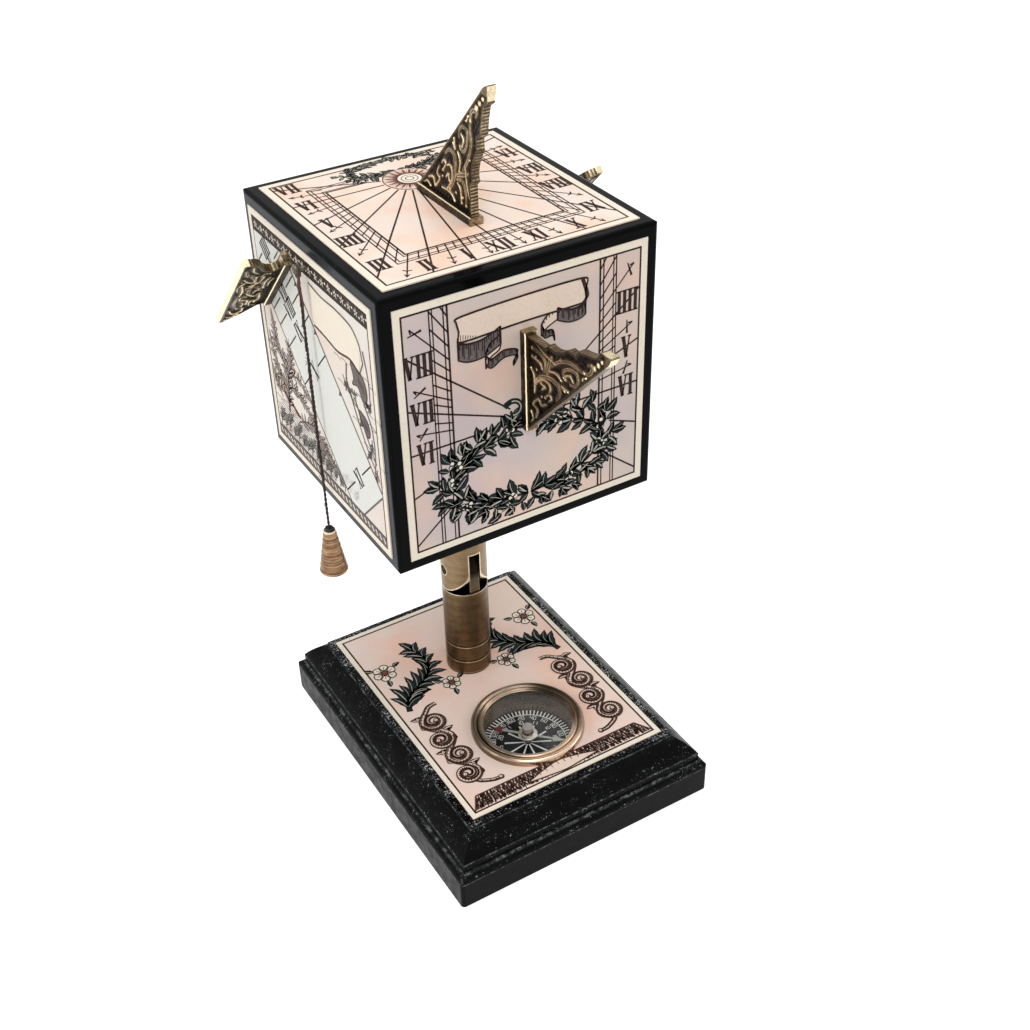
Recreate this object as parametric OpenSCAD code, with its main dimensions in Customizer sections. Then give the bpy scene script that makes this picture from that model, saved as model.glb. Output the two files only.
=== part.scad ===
// Pedestal cube sundial: five dials on a tilting cube, with a compass in its base and a plumb line.
// Millimetres. Origin at the centre of the base's underside, +X right, +Y back, +Z up; front is north.

/* [Base] */
// Width of the base, left to right
base_w = 115; // [100:1:130]
// Depth of the base, front to back
base_d = 148; // [140:1:170]
// Height of the wooden plinth
plinth_h = 27.6; // [25:0.2:34]
// Height of the plinth's plain upright side
plinth_side_h = 12; // [10:0.5:13.5]
// Radius of the quarter round above the upright side
round_r = 2.9; // [2:0.1:4]
// Height of the small upright fillet above the quarter round
upright_h = 3.8; // [2:0.2:5]
// Width of the shallow ovolo above the fillet
ovolo_w = 8.2; // [6:0.2:10]
// How far the ovolo bulges out of its chord
ovolo_bulge = 0.6; // [0.2:0.1:1.2]
// Depth of the small step between the ovolo and the flat top
quirk_h = 1.2; // [0.4:0.1:1.6]
// Radius of the plinth's upright corners
corner_r = 1.6; // [0.5:0.1:4]
// Width of the bare flat margin round the base print
print_margin = 2.8; // [1:0.2:5]
// Thickness of the base print
print_t = 0.4; // [0.3:0.05:1]
// Thickness of the felt pad
felt_t = 1.2; // [0.8:0.1:3]
// How far the felt stops short of the plinth's sides
felt_inset = 1.5; // [0.5:0.5:6]

/* [Post and knuckle] */
// Diameter of the post and of the stem above it
post_d = 19; // [16:0.5:24]
// Distance of the post's axis behind the middle of the base
post_y = 19.3; // [17:0.1:23]
// Height of the post from the base print to its shoulder
post_h = 42.8; // [34:0.2:60]
// Height of the lower turned groove above the base print
groove_low = 7.2; // [5:0.2:10]
// Height of the upper turned groove above the base print
groove_high = 15.1; // [13:0.1:20]
// Width of a turned groove
groove_w = 0.9; // [0.6:0.1:1.6]
// Depth of a turned groove
groove_depth = 0.6; // [0.3:0.1:1]
// Thickness of the tongue on top of the post
tongue_t = 4.6; // [3.5:0.1:7]
// Running clearance on each side of the tongue
tongue_clear = 0.08; // [0.05:0.01:0.2]
// How much smaller the tongue's round end is than the post's radius
tongue_relief = 1.1; // [0.8:0.1:2]
// Gap between the fork's round ends and the post's shoulder
shoulder_gap = 0.6; // [0.4:0.1:1.5]
// Gap between the tongue's round end and the roof of the slot
roof_gap = 0.9; // [0.4:0.1:2]
// Diameter of the knuckle pin
pin_d = 4.4; // [3:0.1:6]
// Running clearance round the pin in the tongue
pin_clear = 0.04; // [0.02:0.01:0.1]
// How far each end of the pin lies inside the fork
pin_recess = 1.3; // [0.5:0.1:2.5]
// Height of the stem from the pin to the underside of the cube
stem_h = 50; // [42:0.5:70]
// Diameter of the stud and the bolt
stud_d = 6; // [5:0.5:8]
// Depth of the threaded holes in the post and the stem
stud_depth = 14; // [10:1:18]
// Clearance round the stud and the bolt in their threads
thread_clear = 0.03; // [0.02:0.01:0.06]
// Clearance round the stud and the bolt in wood and washers
bolt_clear = 0.25; // [0.1:0.05:0.5]
// Width across the flats of the nut and the bolt head
nut_af = 10; // [9:0.5:13]
// Height of the nut and the bolt head
nut_h = 4.6; // [3.5:0.1:6]
// Diameter of the two washers
washer_d = 14; // [13:0.5:17]
// Thickness of the two washers
washer_t = 1.2; // [0.8:0.1:2]
// How far the stud stands out of the nut
stud_tail = 1.5; // [0.5:0.1:3]

/* [Compass] */
// Distance of the compass in front of the middle of the base
compass_y = 28.5; // [26:0.5:34]
// Outer diameter of the bezel
bezel_d = 46; // [44:0.5:50]
// Height of the bezel above the base print
bezel_h = 3; // [2.4:0.1:5]
// Radius of the bezel's outer roll
bezel_r = 1.2; // [0.5:0.1:1.4]
// Radius of the bezel's inner roll
bezel_bead_r = 0.6; // [0.3:0.05:0.7]
// Depth of the turned groove between the bezel's two rolls
bezel_groove = 0.45; // [0.2:0.05:0.6]
// Diameter of the opening in the bezel
window_d = 36; // [32:0.5:37]
// Outer diameter of the case let into the base
case_d = 40; // [39:0.2:42]
// Wall of the case
case_wall = 1; // [0.6:0.1:1.4]
// Depth of the case below the base print
case_depth = 11.5; // [9:0.5:15]
// Clearance round the case in its pocket
case_clear = 0.2; // [0.1:0.05:0.5]
// Thickness of the case's flange under the bezel
flange_t = 0.8; // [0.5:0.1:1.1]
// Width of the case's flange
flange_w = 1.6; // [1.2:0.1:2]
// Thickness of the compass glass
glass_t = 1.2; // [0.8:0.1:1.4]
// How far the glass reaches under the bezel all round
glass_lap = 1.3; // [0.8:0.1:1.6]
// Seating clearance of the glass, the bezel and the dial
seat_clear = 0.05; // [0.02:0.01:0.1]
// Thickness of the compass dial
card_t = 0.8; // [0.5:0.1:1.5]
// Length of the needle
needle_l = 31.4; // [24:0.2:33]
// Width of the needle's bar
needle_w = 1; // [0.8:0.1:1.6]
// Width of the arrowheads at the needle's ends
arrow_w = 3.6; // [2.5:0.1:5]
// Length of the arrowheads
arrow_l = 5; // [3:0.5:7]
// Thickness of the needle
needle_t = 0.4; // [0.3:0.05:0.6]
// Direction of the needle's north end, from straight ahead towards the left
needle_turn = 44; // [0:1:359]
// Height of the needle's underside above the dial
needle_rise = 4.2; // [3.2:0.1:5]
// Diameter of the pivot post
pivot_d = 1.4; // [1:0.1:2]
// Diameter of the collar round the needle's cap
collar_d = 6.9; // [5:0.1:8]
// Diameter of the needle's cap
cap_d = 4.1; // [3.6:0.1:5]
// Height of the needle's cap
cap_h = 4.2; // [3:0.1:4.6]
// Running clearance between the cap and the pivot
pivot_clear = 0.06; // [0.03:0.01:0.1]

/* [Cube] */
// Side of the cube
cube_side = 105.4; // [100:0.2:120]
// Thickness of the cube's walls
cube_wall = 6; // [5.6:0.2:10]
// Thickness of the board that closes the cube
floor_t = 8; // [6:0.5:12]
// Radius of the cube's worn edges
cube_r = 1.5; // [0.5:0.1:3]
// Gluing clearance round the floor board
floor_clear = 0.05; // [0.02:0.01:0.2]
// Side of the square dials
dial_side = 96.2; // [90:0.2:97]
// Thickness of the dials
dial_t = 0.4; // [0.3:0.05:1]

/* [Gnomons] */
// Length of a gnomon's foot
foot_l = 37.8; // [34:0.2:42]
// Width of a gnomon's foot
foot_w = 5; // [4.4:0.1:8]
// Thickness of a gnomon's foot
foot_t = 3; // [2.4:0.1:4]
// Chamfer along the foot's upper edges
foot_chamfer = 0.6; // [0.2:0.1:1]
// Thickness of the cast plate at its sunk ground
ground_t = 2; // [1.6:0.1:2.4]
// Thickness of the cast plate over its raised ornament
relief_t = 3.2; // [2.6:0.1:4]
// Width of the raised border along a gnomon's edges
border_w = 1; // [0.6:0.1:1.2]
// Height of the triangular gnomons' tips above the dial
tip_h = 50.8; // [47:0.2:54]
// Latitude for which the gnomons are cast
latitude = 45; // [42:1:48]
// Distance of the top gnomon's toe behind the middle of the dial
top_toe = 15; // [10:0.1:20]
// Distance of the upright gnomons' toes from the middle of their dials
side_toe = 9.4; // [5:0.1:14]
// Reach of the east and west gnomons out from the dial
wing_reach = 18.2; // [16:0.2:22]
// Length of the east and west gnomons' shadow edge below the foot
wing_drop = 9.9; // [7:0.1:12]
// Length of the east and west gnomons' shadow edge above the foot
wing_rise = 5.6; // [4:0.1:8]
// Distance of the east and west feet behind the middle of the dial
wing_back = 25.8; // [22:0.2:29]
// Height of the east and west feet above the middle of the dial
wing_up = 28.6; // [22:0.2:30]
// Diameter of the pegs under a foot
peg_d = 2; // [1.5:0.1:3]
// Length of the pegs under a foot
peg_l = 5; // [3:0.2:5.4]
// Distance of the pegs from the ends of the foot
peg_inset = 8; // [6:0.5:12]
// Clearance round the pegs in their holes
peg_clear = 0.05; // [0.02:0.01:0.1]

/* [Plumb line] */
// Distance of the plumb line's peg below the cube's top
hook_drop = 9.5; // [8:0.5:16]
// Distance of the plumb line from the cube's side
line_off = 3.3; // [3:0.1:5]
// Diameter of the peg
hook_d = 1.6; // [1.2:0.1:2]
// Diameter of the peg's head
hook_head_d = 3; // [2.6:0.1:4]
// Thickness of the peg's head
hook_head_t = 0.7; // [0.5:0.1:1]
// Length of the peg inside the cube's wall
hook_root = 4.5; // [3:0.1:5.4]
// Diameter of the cord
cord_d = 1.1; // [0.8:0.1:1.6]
// Clearance of the cord's loop on the peg
loop_clear = 0.08; // [0.05:0.01:0.1]
// Length of the cord from the peg to the bob
cord_l = 107; // [98:0.5:140]
// Length of the bob
bob_l = 19; // [15:0.5:26]
// Diameter of the bob at its top
bob_top_d = 4.8; // [4:0.1:6]
// Diameter of the bob at its foot
bob_d = 11; // [9:0.5:14]
// Radius of the bob's lower edge
bob_r = 0.9; // [0.4:0.1:1.5]
// Diameter of the plug that holds the cord in the bob
plug_d = 3; // [2.4:0.1:3.4]
// Length of the plug inside the bob
plug_l = 5; // [3:0.5:8]
// Height of the plug above the bob
plug_up = 1.1; // [0.5:0.1:2]

/* [Hidden] */

$fn = 64;
wood = [0.07, 0.07, 0.075];
felt = [0.1, 0.16, 0.12];
brass = [0.5, 0.4, 0.25];
pale_brass = [0.66, 0.54, 0.34];
gilt = [0.72, 0.56, 0.3];
bronze = [0.55, 0.38, 0.24];
steel = [0.62, 0.63, 0.65];
paper = [0.92, 0.8, 0.74];
cut = 0.5;          // how far a cut reaches past the face that it opens
quarter = 90;

plinth_top = felt_t + plinth_h;
deck = plinth_top + print_t;
moulding_w = round_r + ovolo_w;
base_print_w = base_w - 2 * (moulding_w + print_margin);
base_print_d = base_d - 2 * (moulding_w + print_margin);

post_r = post_d / 2;
shoulder = deck + post_h;
pin_z = shoulder + shoulder_gap + post_r;
tongue_r = post_r - tongue_relief;
slot_w = tongue_t + 2 * tongue_clear;
slot_roof = tongue_r + roof_gap;
pin_l = 2 * (sqrt(post_r * post_r - pin_d * pin_d / 4) - pin_recess);
cube_z = pin_z + stem_h;
cube_mid = cube_z + cube_side / 2;
half = cube_side / 2;
head_sink = 1.6;    // how far the bolt's head lies inside the plinth
bolt_sink = nut_h + washer_t + head_sink;
bolt_grip = plinth_h - bolt_sink + print_t;

case_r = case_d / 2;
window_r = window_d / 2;
glass_r = window_r + glass_lap;
flange_r = case_r + flange_w;
card_z = deck - case_depth + case_wall;
card_r = case_r - case_wall - 3 * seat_clear;
glass_z = deck + flange_t + seat_clear;
needle_z = card_z + card_t + needle_rise;
cone_h = 1.1;       // height of the pivot's point
roll_turn = 130;    // how far round its section a roll of the bezel goes

toe_rise = 2;       // height of the shadow edge above the dial at the toe
nib_w = 3;          // width of the nib at the tip
style_slope = tan(latitude);
style_end = tip_h - 2.8;
tip_u = (tip_h - toe_rise) / style_slope + 1.6;

hook_z = cube_mid + half - hook_drop;
hook_x = -half - line_off;
loop_r = hook_d / 2 + loop_clear + cord_d / 2;
knot_r = cord_d * 0.8;
knot_z = -loop_r - cord_d / 2;
cord_gap = 0.3;
cord_top = knot_z - knot_r - cord_gap;
// The cord hangs straight down from its knot to the plug in the bob
cord_route = [[0, 0, cord_top], [0, 0, -36], [0, 0, -72], [0, 0, -cord_l + plug_up]];
cord_sides = 8;
ring_every = 3;

// Points of an arc round a centre, from angle a to angle b
function arc(c, r, a, b, n = 8) =
    [for (i = [0 : n]) let (t = a + (b - a) * i / n) c + r * [cos(t), sin(t)]];

// Points of a curve from p to r, drawn towards q
function curve(p, q, r, n = 6) =
    [for (i = [0 : n]) let (t = i / n) (1 - t) * (1 - t) * p + 2 * t * (1 - t) * q + t * t * r];

function unit(v) = v / norm(v);
function left_of(v) = [-v[1], v[0]];

// Points of a shallow curve from p to r that bulges to the right of its chord
function bulged(p, r, bulge, n = 7) = curve(p, (p + r) / 2 - 2 * bulge * left_of(unit(r - p)), r, n);

// Outline moved inwards by d, for points that run anticlockwise
function inset(pts, d) = [for (i = [0 : len(pts) - 1])
    let (n = len(pts), a = pts[(i + n - 1) % n], b = pts[i], c = pts[(i + 1) % n],
        u = left_of(unit(b - a)), v = left_of(unit(c - b)))
    b + (u + v) * d / (1 + u * v)];

// A raised band along a curve, from half width h0 to half width h1
function band(p, q, r, h0, h1, n = 7) =
    let (pts = curve(p, q, r, n),
        side = [for (i = [0 : n]) let (t = i / n) left_of(unit(2 * (1 - t) * (q - p) + 2 * t * (r - q)))])
    concat([for (i = [0 : n]) pts[i] + side[i] * (h0 + (h1 - h0) * i / n)],
        [for (i = [n : -1 : 0]) pts[i] - side[i] * (h0 + (h1 - h0) * i / n)]);

// A square with true arcs at its corners
module round_square(w, d, r) {
    square([w - 2 * r, d], center = true);
    square([w, d - 2 * r], center = true);
    for (x = [-1, 1], y = [-1, 1]) translate([x * (w / 2 - r), y * (d / 2 - r)]) circle(r);
}

// Right half of the plinth's section, from its foot to the edge of the flat top
function plinth_edge(w) = concat(
    [[w / 2, felt_t]],
    arc([w / 2 - round_r, felt_t + plinth_side_h], round_r, 0, quarter, 6),
    bulged([w / 2 - round_r, felt_t + plinth_side_h + round_r + upright_h],
        [w / 2 - moulding_w, plinth_top - quirk_h], ovolo_bulge),
    [[w / 2 - moulding_w, plinth_top]]);

module plinth_section(w) {
    right = plinth_edge(w);
    n = len(right);
    polygon(concat(right, [for (i = [n - 1 : -1 : 0]) [-right[i][0], right[i][1]]]));
}

module base_plinth() {
    color(wood) difference() {
        intersection() {
            rotate([quarter, 0, 0]) linear_extrude(base_d, center = true) plinth_section(base_w);
            rotate([quarter, 0, quarter]) linear_extrude(base_w, center = true) plinth_section(base_d);
            translate([0, 0, felt_t - cut]) linear_extrude(plinth_h + 2 * cut)
                round_square(base_w, base_d, corner_r);
        }
        translate([0, -compass_y, deck - case_depth - seat_clear])
            cylinder(h = case_depth + cut, r = case_r + case_clear);
        translate([0, post_y, felt_t - cut]) cylinder(h = plinth_h + 2 * cut, d = stud_d + 2 * bolt_clear);
        translate([0, post_y, felt_t - cut]) cylinder(h = bolt_sink + cut, d = washer_d + 2 * bolt_clear);
    }
}

module felt_pad() {
    color(felt) linear_extrude(felt_t)
        round_square(base_w - 2 * felt_inset, base_d - 2 * felt_inset, corner_r);
}

module base_print() {
    color(paper) translate([0, 0, plinth_top]) difference() {
        linear_extrude(print_t) square([base_print_w, base_print_d], center = true);
        translate([0, -compass_y, -cut]) cylinder(h = print_t + 2 * cut, r = case_r + case_clear);
        translate([0, post_y, -cut]) cylinder(h = print_t + 2 * cut, d = stud_d + 2 * bolt_clear);
    }
}

// A turned groove with a square floor, cut round the post
module turned_groove(z) {
    translate([0, 0, z - groove_w / 2]) difference() {
        cylinder(h = groove_w, r = post_r + cut);
        translate([0, 0, -cut]) cylinder(h = groove_w + 2 * cut, r = post_r - groove_depth);
    }
}

module post() {
    color(brass) difference() {
        union() {
            translate([0, post_y, deck]) difference() {
                cylinder(h = post_h, r = post_r);
                turned_groove(groove_low);
                turned_groove(groove_high);
            }
            translate([0, post_y, shoulder]) intersection() {
                cylinder(h = 2 * post_r + shoulder_gap, r = post_r);
                rotate([quarter, 0, quarter]) linear_extrude(tongue_t, center = true) union() {
                    translate([0, pin_z - shoulder]) circle(tongue_r);
                    translate([-tongue_r, -cut]) square([2 * tongue_r, pin_z - shoulder + cut]);
                }
            }
        }
        translate([0, post_y, pin_z]) rotate([0, quarter, 0])
            cylinder(h = post_d + 2 * cut, d = pin_d + 2 * pin_clear, center = true);
        translate([0, post_y, deck - cut]) cylinder(h = stud_depth + cut, d = stud_d + 2 * thread_clear);
    }
}

module hexagon_head(af, h) {
    cylinder(h = h, d = af / cos(30), $fn = 6);
}

module washer() {
    difference() {
        cylinder(h = washer_t, d = washer_d);
        translate([0, 0, -cut]) cylinder(h = washer_t + 2 * cut, d = stud_d + 2 * bolt_clear);
    }
}

module post_bolt() {
    color(steel) translate([0, post_y, felt_t + bolt_sink - washer_t]) {
        translate([0, 0, -nut_h]) hexagon_head(nut_af, nut_h);
        cylinder(h = washer_t + bolt_grip + stud_depth - 1, d = stud_d);
    }
}

module post_washer() {
    color(steel) translate([0, post_y, felt_t + bolt_sink - washer_t]) washer();
}

// The case and its flange are turned from one piece
module compass_case() {
    color(brass) translate([0, -compass_y, deck]) rotate_extrude() polygon([
        [0, -case_depth], [case_r, -case_depth], [case_r, 0], [flange_r, 0], [flange_r, flange_t],
        [case_r - case_wall, flange_t], [case_r - case_wall, -case_depth + case_wall],
        [0, -case_depth + case_wall]]);
}

module compass_bezel() {
    glass_seat = flange_t + glass_t + 2 * seat_clear;
    outer = [bezel_d / 2 - bezel_r, bezel_h - bezel_r];
    inner = [outer[0] - bezel_r - 2 * bezel_bead_r + bezel_groove / 2, bezel_h - bezel_bead_r];
    color(gilt) translate([0, -compass_y, deck]) rotate_extrude() polygon(concat(
        [[flange_r + seat_clear, 0], [bezel_d / 2, 0]],
        arc(outer, bezel_r, 0, roll_turn, 7),
        [[inner[0] + bezel_bead_r, bezel_h - bezel_bead_r - bezel_groove / 2]],
        arc(inner, bezel_bead_r, 0, roll_turn, 7),
        [[window_r, glass_seat], [glass_r + seat_clear, glass_seat],
            [glass_r + seat_clear, flange_t + seat_clear],
            [flange_r + seat_clear, flange_t + seat_clear]]));
}

module compass_glass() {
    color([0.85, 0.92, 0.95, 0.35]) translate([0, -compass_y, glass_z]) cylinder(h = glass_t, r = glass_r);
}

module compass_dial() {
    color([0.1, 0.1, 0.1]) translate([0, -compass_y, card_z]) difference() {
        cylinder(h = card_t, r = card_r);
        translate([0, 0, -cut]) cylinder(h = card_t + 2 * cut, d = pivot_d + 2 * seat_clear);
    }
}

// The pivot stands on the case's floor and ends in a sharp point inside the cap
module compass_pivot() {
    color(steel) translate([0, -compass_y, card_z]) rotate_extrude() polygon([
        [0, 0], [pivot_d / 2, 0], [pivot_d / 2, card_t + needle_rise - cone_h / 2],
        [0, card_t + needle_rise + cone_h / 2]]);
}

module at_needle() {
    translate([0, -compass_y, needle_z]) rotate([0, 0, needle_turn]) children();
}

module compass_needle() {
    shaft_r = pivot_d / 2 + 2 * pivot_clear + needle_t;
    arrow_z = needle_l / 2 - arrow_l;
    color([0.75, 0.2, 0.15]) at_needle() linear_extrude(needle_t) difference() {
        union() {
            circle(shaft_r + needle_w);
            square([needle_w, 2 * arrow_z + needle_w], center = true);
            for (end = [0, 180]) rotate(end) polygon([[-arrow_w / 2, arrow_z], [arrow_w / 2, arrow_z],
                [0, needle_l / 2]]);
        }
        circle(shaft_r);
    }
}

// The cap turns on the pivot's point, in a conical seat with a straight skirt below it
module needle_cap() {
    slope_r = pivot_d / 2 + pivot_clear;
    collar_top = 2 * needle_t;
    edge_r = cap_d / 8;
    color(gilt) at_needle() rotate_extrude() polygon(concat(
        [[slope_r, -cone_h / 2 - needle_t], [slope_r + needle_t, -cone_h / 2 - needle_t],
            [slope_r + needle_t, needle_t], [collar_d / 2, needle_t], [collar_d / 2, collar_top],
            [cap_d / 2, collar_top + needle_t / 2]],
        arc([cap_d / 2 - edge_r, cap_h - edge_r], edge_r, 0, quarter, 5),
        [[0, cap_h], [0, cone_h / 2 + pivot_clear * 2], [slope_r, -cone_h / 2 + pivot_clear]]));
}

// Stem, slot and full-round cheeks, in the stem's own frame with the pin at its origin
module fork_body() {
    difference() {
        union() {
            cylinder(h = stem_h, r = post_r);
            intersection() {
                translate([0, 0, -post_r]) cylinder(h = 2 * post_r, r = post_r);
                rotate([0, quarter, 0]) cylinder(h = post_d + 2 * cut, r = post_r, center = true);
            }
        }
        translate([-slot_w / 2, -post_r - cut, -post_r - cut])
            cube([slot_w, post_d + 2 * cut, post_r + cut + slot_roof]);
        rotate([0, quarter, 0]) cylinder(h = post_d + 2 * cut, d = pin_d + thread_clear, center = true);
        translate([0, 0, stem_h - stud_depth])
            cylinder(h = stud_depth + cut, d = stud_d + 2 * thread_clear);
    }
}

module head_fork() {
    color(pale_brass) translate([0, post_y, pin_z]) fork_body();
}

module knuckle_pin() {
    color(brass) translate([0, post_y, pin_z]) rotate([0, quarter, 0])
        cylinder(h = pin_l, d = pin_d, center = true);
}

module head_stud() {
    color(steel) translate([0, post_y, cube_z - stud_depth + 1])
        cylinder(h = stud_depth - 1 + floor_t + washer_t + nut_h + stud_tail, d = stud_d);
}

module head_washer() {
    color(steel) translate([0, post_y, cube_z + floor_t]) washer();
}

module head_nut() {
    color(steel) translate([0, post_y, cube_z + floor_t + washer_t]) difference() {
        hexagon_head(nut_af, nut_h);
        translate([0, 0, -cut]) cylinder(h = nut_h + 2 * cut, d = stud_d + 2 * thread_clear);
    }
}

// Moves its children from the dial's own frame to the outside of one side of the cube
module at_top() {
    translate([0, post_y + top_toe, cube_mid + half]) rotate([quarter, 0, -quarter]) children();
}
module at_north() {
    translate([0, post_y - half, cube_mid - side_toe]) rotate([2 * quarter, -quarter, 0]) children();
}
module at_south() {
    translate([0, post_y + half, cube_mid + side_toe]) rotate([0, quarter, 0]) children();
}
module at_east() {
    translate([-half, post_y + wing_back, cube_mid + wing_up]) rotate([-latitude, 0, 0])
        rotate([2 * quarter, 0, -quarter]) translate([-foot_l / 2, 0, 0]) children();
}
module at_west() { mirror([1, 0, 0]) at_east() children(); }

// The two pegs under a foot, or the holes that take them
module pegs(grow = 0, deeper = 0) {
    for (u = [peg_inset, foot_l - peg_inset]) translate([u, cut, 0]) rotate([quarter, 0, 0])
        cylinder(h = dial_t + peg_l + deeper + cut, d = peg_d + 2 * grow);
}

module peg_holes() { pegs(grow = peg_clear, deeper = 2 * peg_clear); }

module hook_hole() {
    translate([hook_x, post_y, hook_z]) rotate([0, quarter, 0])
        cylinder(h = line_off + hook_root + peg_clear, d = hook_d + 2 * peg_clear);
}

// A bar as long as it is wide, with its four long edges rounded
module rounded_bar() {
    linear_extrude(cube_side, center = true) round_square(cube_side, cube_side, cube_r);
}

module cube_shell() {
    color(wood) difference() {
        translate([0, post_y, cube_mid]) intersection() {
            rounded_bar();
            rotate([quarter, 0, 0]) rounded_bar();
            rotate([0, quarter, 0]) rounded_bar();
        }
        translate([-half + cube_wall, post_y - half + cube_wall, cube_z - cut])
            cube([cube_side - 2 * cube_wall, cube_side - 2 * cube_wall, cube_side - cube_wall + cut]);
        at_top() peg_holes();
        at_north() peg_holes();
        at_south() peg_holes();
        at_east() peg_holes();
        at_west() peg_holes();
        hook_hole();
    }
}

module cube_floor() {
    side = cube_side - 2 * cube_wall - 2 * floor_clear;
    color(wood) translate([0, post_y, cube_z]) difference() {
        translate([-side / 2, -side / 2, 0]) cube([side, side, floor_t]);
        translate([0, 0, -cut]) cylinder(h = floor_t + 2 * cut, d = stud_d + 2 * bolt_clear);
    }
}

// A dial laid on the side of the cube that faces along z, before it is turned into place
module dial_sheet() {
    translate([0, 0, half]) linear_extrude(dial_t) square(dial_side, center = true);
}

module dial_top() {
    color(paper) difference() {
        translate([0, post_y, cube_mid]) dial_sheet();
        at_top() peg_holes();
    }
}

module dial_north() {
    color(paper) difference() {
        translate([0, post_y, cube_mid]) rotate([quarter, 0, 0]) dial_sheet();
        at_north() peg_holes();
    }
}

module dial_south() {
    color(paper) difference() {
        translate([0, post_y, cube_mid]) rotate([-quarter, 0, 0]) dial_sheet();
        at_south() peg_holes();
    }
}

module dial_east() {
    color(paper) difference() {
        translate([0, post_y, cube_mid]) rotate([0, -quarter, 0]) dial_sheet();
        at_east() peg_holes();
        hook_hole();
    }
}

module dial_west() {
    color(paper) difference() {
        translate([0, post_y, cube_mid]) rotate([0, quarter, 0]) dial_sheet();
        at_west() peg_holes();
    }
}

// Outline of a triangular gnomon, anticlockwise: foot, three steps of the heel, nib and shadow edge
heel_u = foot_l - 1;
heel_low = 0.27 * tip_h;
heel_mid = 0.63 * tip_h;
heel_high = 0.85 * tip_h;
blade_outline = concat(
    [[0, 0], [heel_u, 0], [heel_u + 0.2, heel_low]],
    curve([heel_u + 2, heel_low + 1.6], [heel_u + 0.2, heel_low + 6], [tip_u - 7.9, heel_mid - 5]),
    [[tip_u - 8, heel_mid - 0.8], [tip_u - 5.4, heel_mid + 1]],
    curve([tip_u - 5.2, heel_mid + 2.4], [tip_u - 4.4, heel_high - 4], [tip_u - nib_w, heel_high]),
    [[tip_u - 0.4, heel_high + 1.8]],
    curve([tip_u + 0.1, tip_h], [tip_u - 1.8, tip_h], [(style_end - toe_rise) / style_slope, style_end], 2),
    [[0, toe_rise]]);

// Raised scrolls of a triangular gnomon, each with its start, its pull, its end and two half widths
blade_scrolls = [
    [[20.7, 19.9], [25.2, 24.2], [27, 17.6], 0.5, 0.9],
    [[26.8, 18.4], [27.4, 11.6], [22.6, 7.8], 0.8, 0.4],
    [[21.2, 15.4], [27.6, 16.6], [21.2, 7.6], 0.35, 0.6],
    [[8, 7.8], [12.8, 9.4], [11.9, 5.4], 0.5, 0.4],
    [[15.6, 13.6], [12, 9.6], [17.4, 6.4], 0.5, 0.4],
    [[17.8, 15.4], [20.6, 17.8], [18.6, 11.2], 0.4, 0.4],
    [[32.1, 24], [28, 28.2], [33.8, 32.6], 0.4, 0.6],
    [[32.8, 32.2], [38.8, 31.8], [33.6, 24.4], 0.55, 0.4],
    [[42.6, 38.4], [43.4, 41], [40.8, 40.4], 0.4, 0.6],
    [[41.4, 40.6], [38.2, 39.6], [38.6, 35.8], 0.5, 0.8],
    [[38.5, 36.8], [39.8, 26.4], [32.3, 17.6], 0.7, 0.5],
    [[29.6, 22.4], [31.2, 19.6], [29.8, 16.6], 0.4, 0.5],
    [[28.2, 14.6], [31.6, 16.2], [34.8, 16.8], 0.8, 0.8],
    [[27.9, 13], [34.2, 13.6], [33.4, 5.4], 0.5, 0.8],
    [[28.4, 11.4], [31, 9.6], [30.3, 5.6], 0.4, 0.5]];
blade_beads = [for (i = [0 : 2]) [42.7, 41.5] + i * [2.05, 2.05]];
bead_r = 1.7;

// Outline of an east or west gnomon: the shadow edge lies along the top and the steps are at its end
wing_top = foot_l + wing_rise;
wing_outline = concat(
    [[0, 0], [foot_l, 0], [foot_l, foot_t], [foot_l - 2.2, foot_t + 0.2]],
    curve([foot_l - 4.4, foot_t + 0.9], [foot_l - 6.8, foot_t + 4], [foot_l - 1.4, wing_reach - 8.4], 5),
    curve([foot_l + 0.6, wing_reach - 7.6], [foot_l + 3.8, wing_reach - 5.8],
        [wing_top - 0.8, wing_reach - 2.6], 4),
    [[wing_top, wing_reach - 2], [wing_top, wing_reach], [-wing_drop, wing_reach],
        [-0.6 * wing_drop, 0.62 * wing_reach], [-0.3, foot_t + 2.2]]);

wing_scrolls = [
    [[38.6, 16.6], [31, 13.6], [25.1, 10.7], 0.5, 0.7],
    [[30.4, 15.6], [22.6, 12.2], [30.2, 11.2], 0.4, 0.4],
    [[24.7, 15.3], [19, 13.6], [14.9, 14.7], 0.4, 0.5],
    [[15, 15.4], [12.4, 9.2], [19.4, 11.8], 0.45, 0.6],
    [[18.6, 11.6], [23, 11.4], [17.6, 8], 0.5, 0.4],
    [[16.5, 12.4], [9.8, 9.8], [12.5, 6.7], 0.4, 0.5],
    [[13.2, 7.2], [7.8, 4.8], [5, 7.4], 0.4, 0.5],
    [[26.4, 5.6], [22.4, 7.2], [17.8, 6.4], 0.5, 0.5],
    [[13.4, 15.4], [7.2, 15.8], [2.2, 13.4], 0.5, 0.4],
    [[1.6, 15.8], [-3, 14.6], [0.6, 11], 0.4, 0.4]];

// The foot is a strip with chamfered upper edges
module gnomon_foot() {
    translate([foot_l, 0, 0]) rotate([quarter, 0, -quarter]) rotate([0, 0, quarter]) linear_extrude(foot_l)
        polygon([[-foot_w / 2, 0], [-foot_w / 2, foot_t - foot_chamfer],
            [-foot_w / 2 + foot_chamfer, foot_t], [foot_w / 2 - foot_chamfer, foot_t],
            [foot_w / 2, foot_t - foot_chamfer], [foot_w / 2, 0]]);
}

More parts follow.
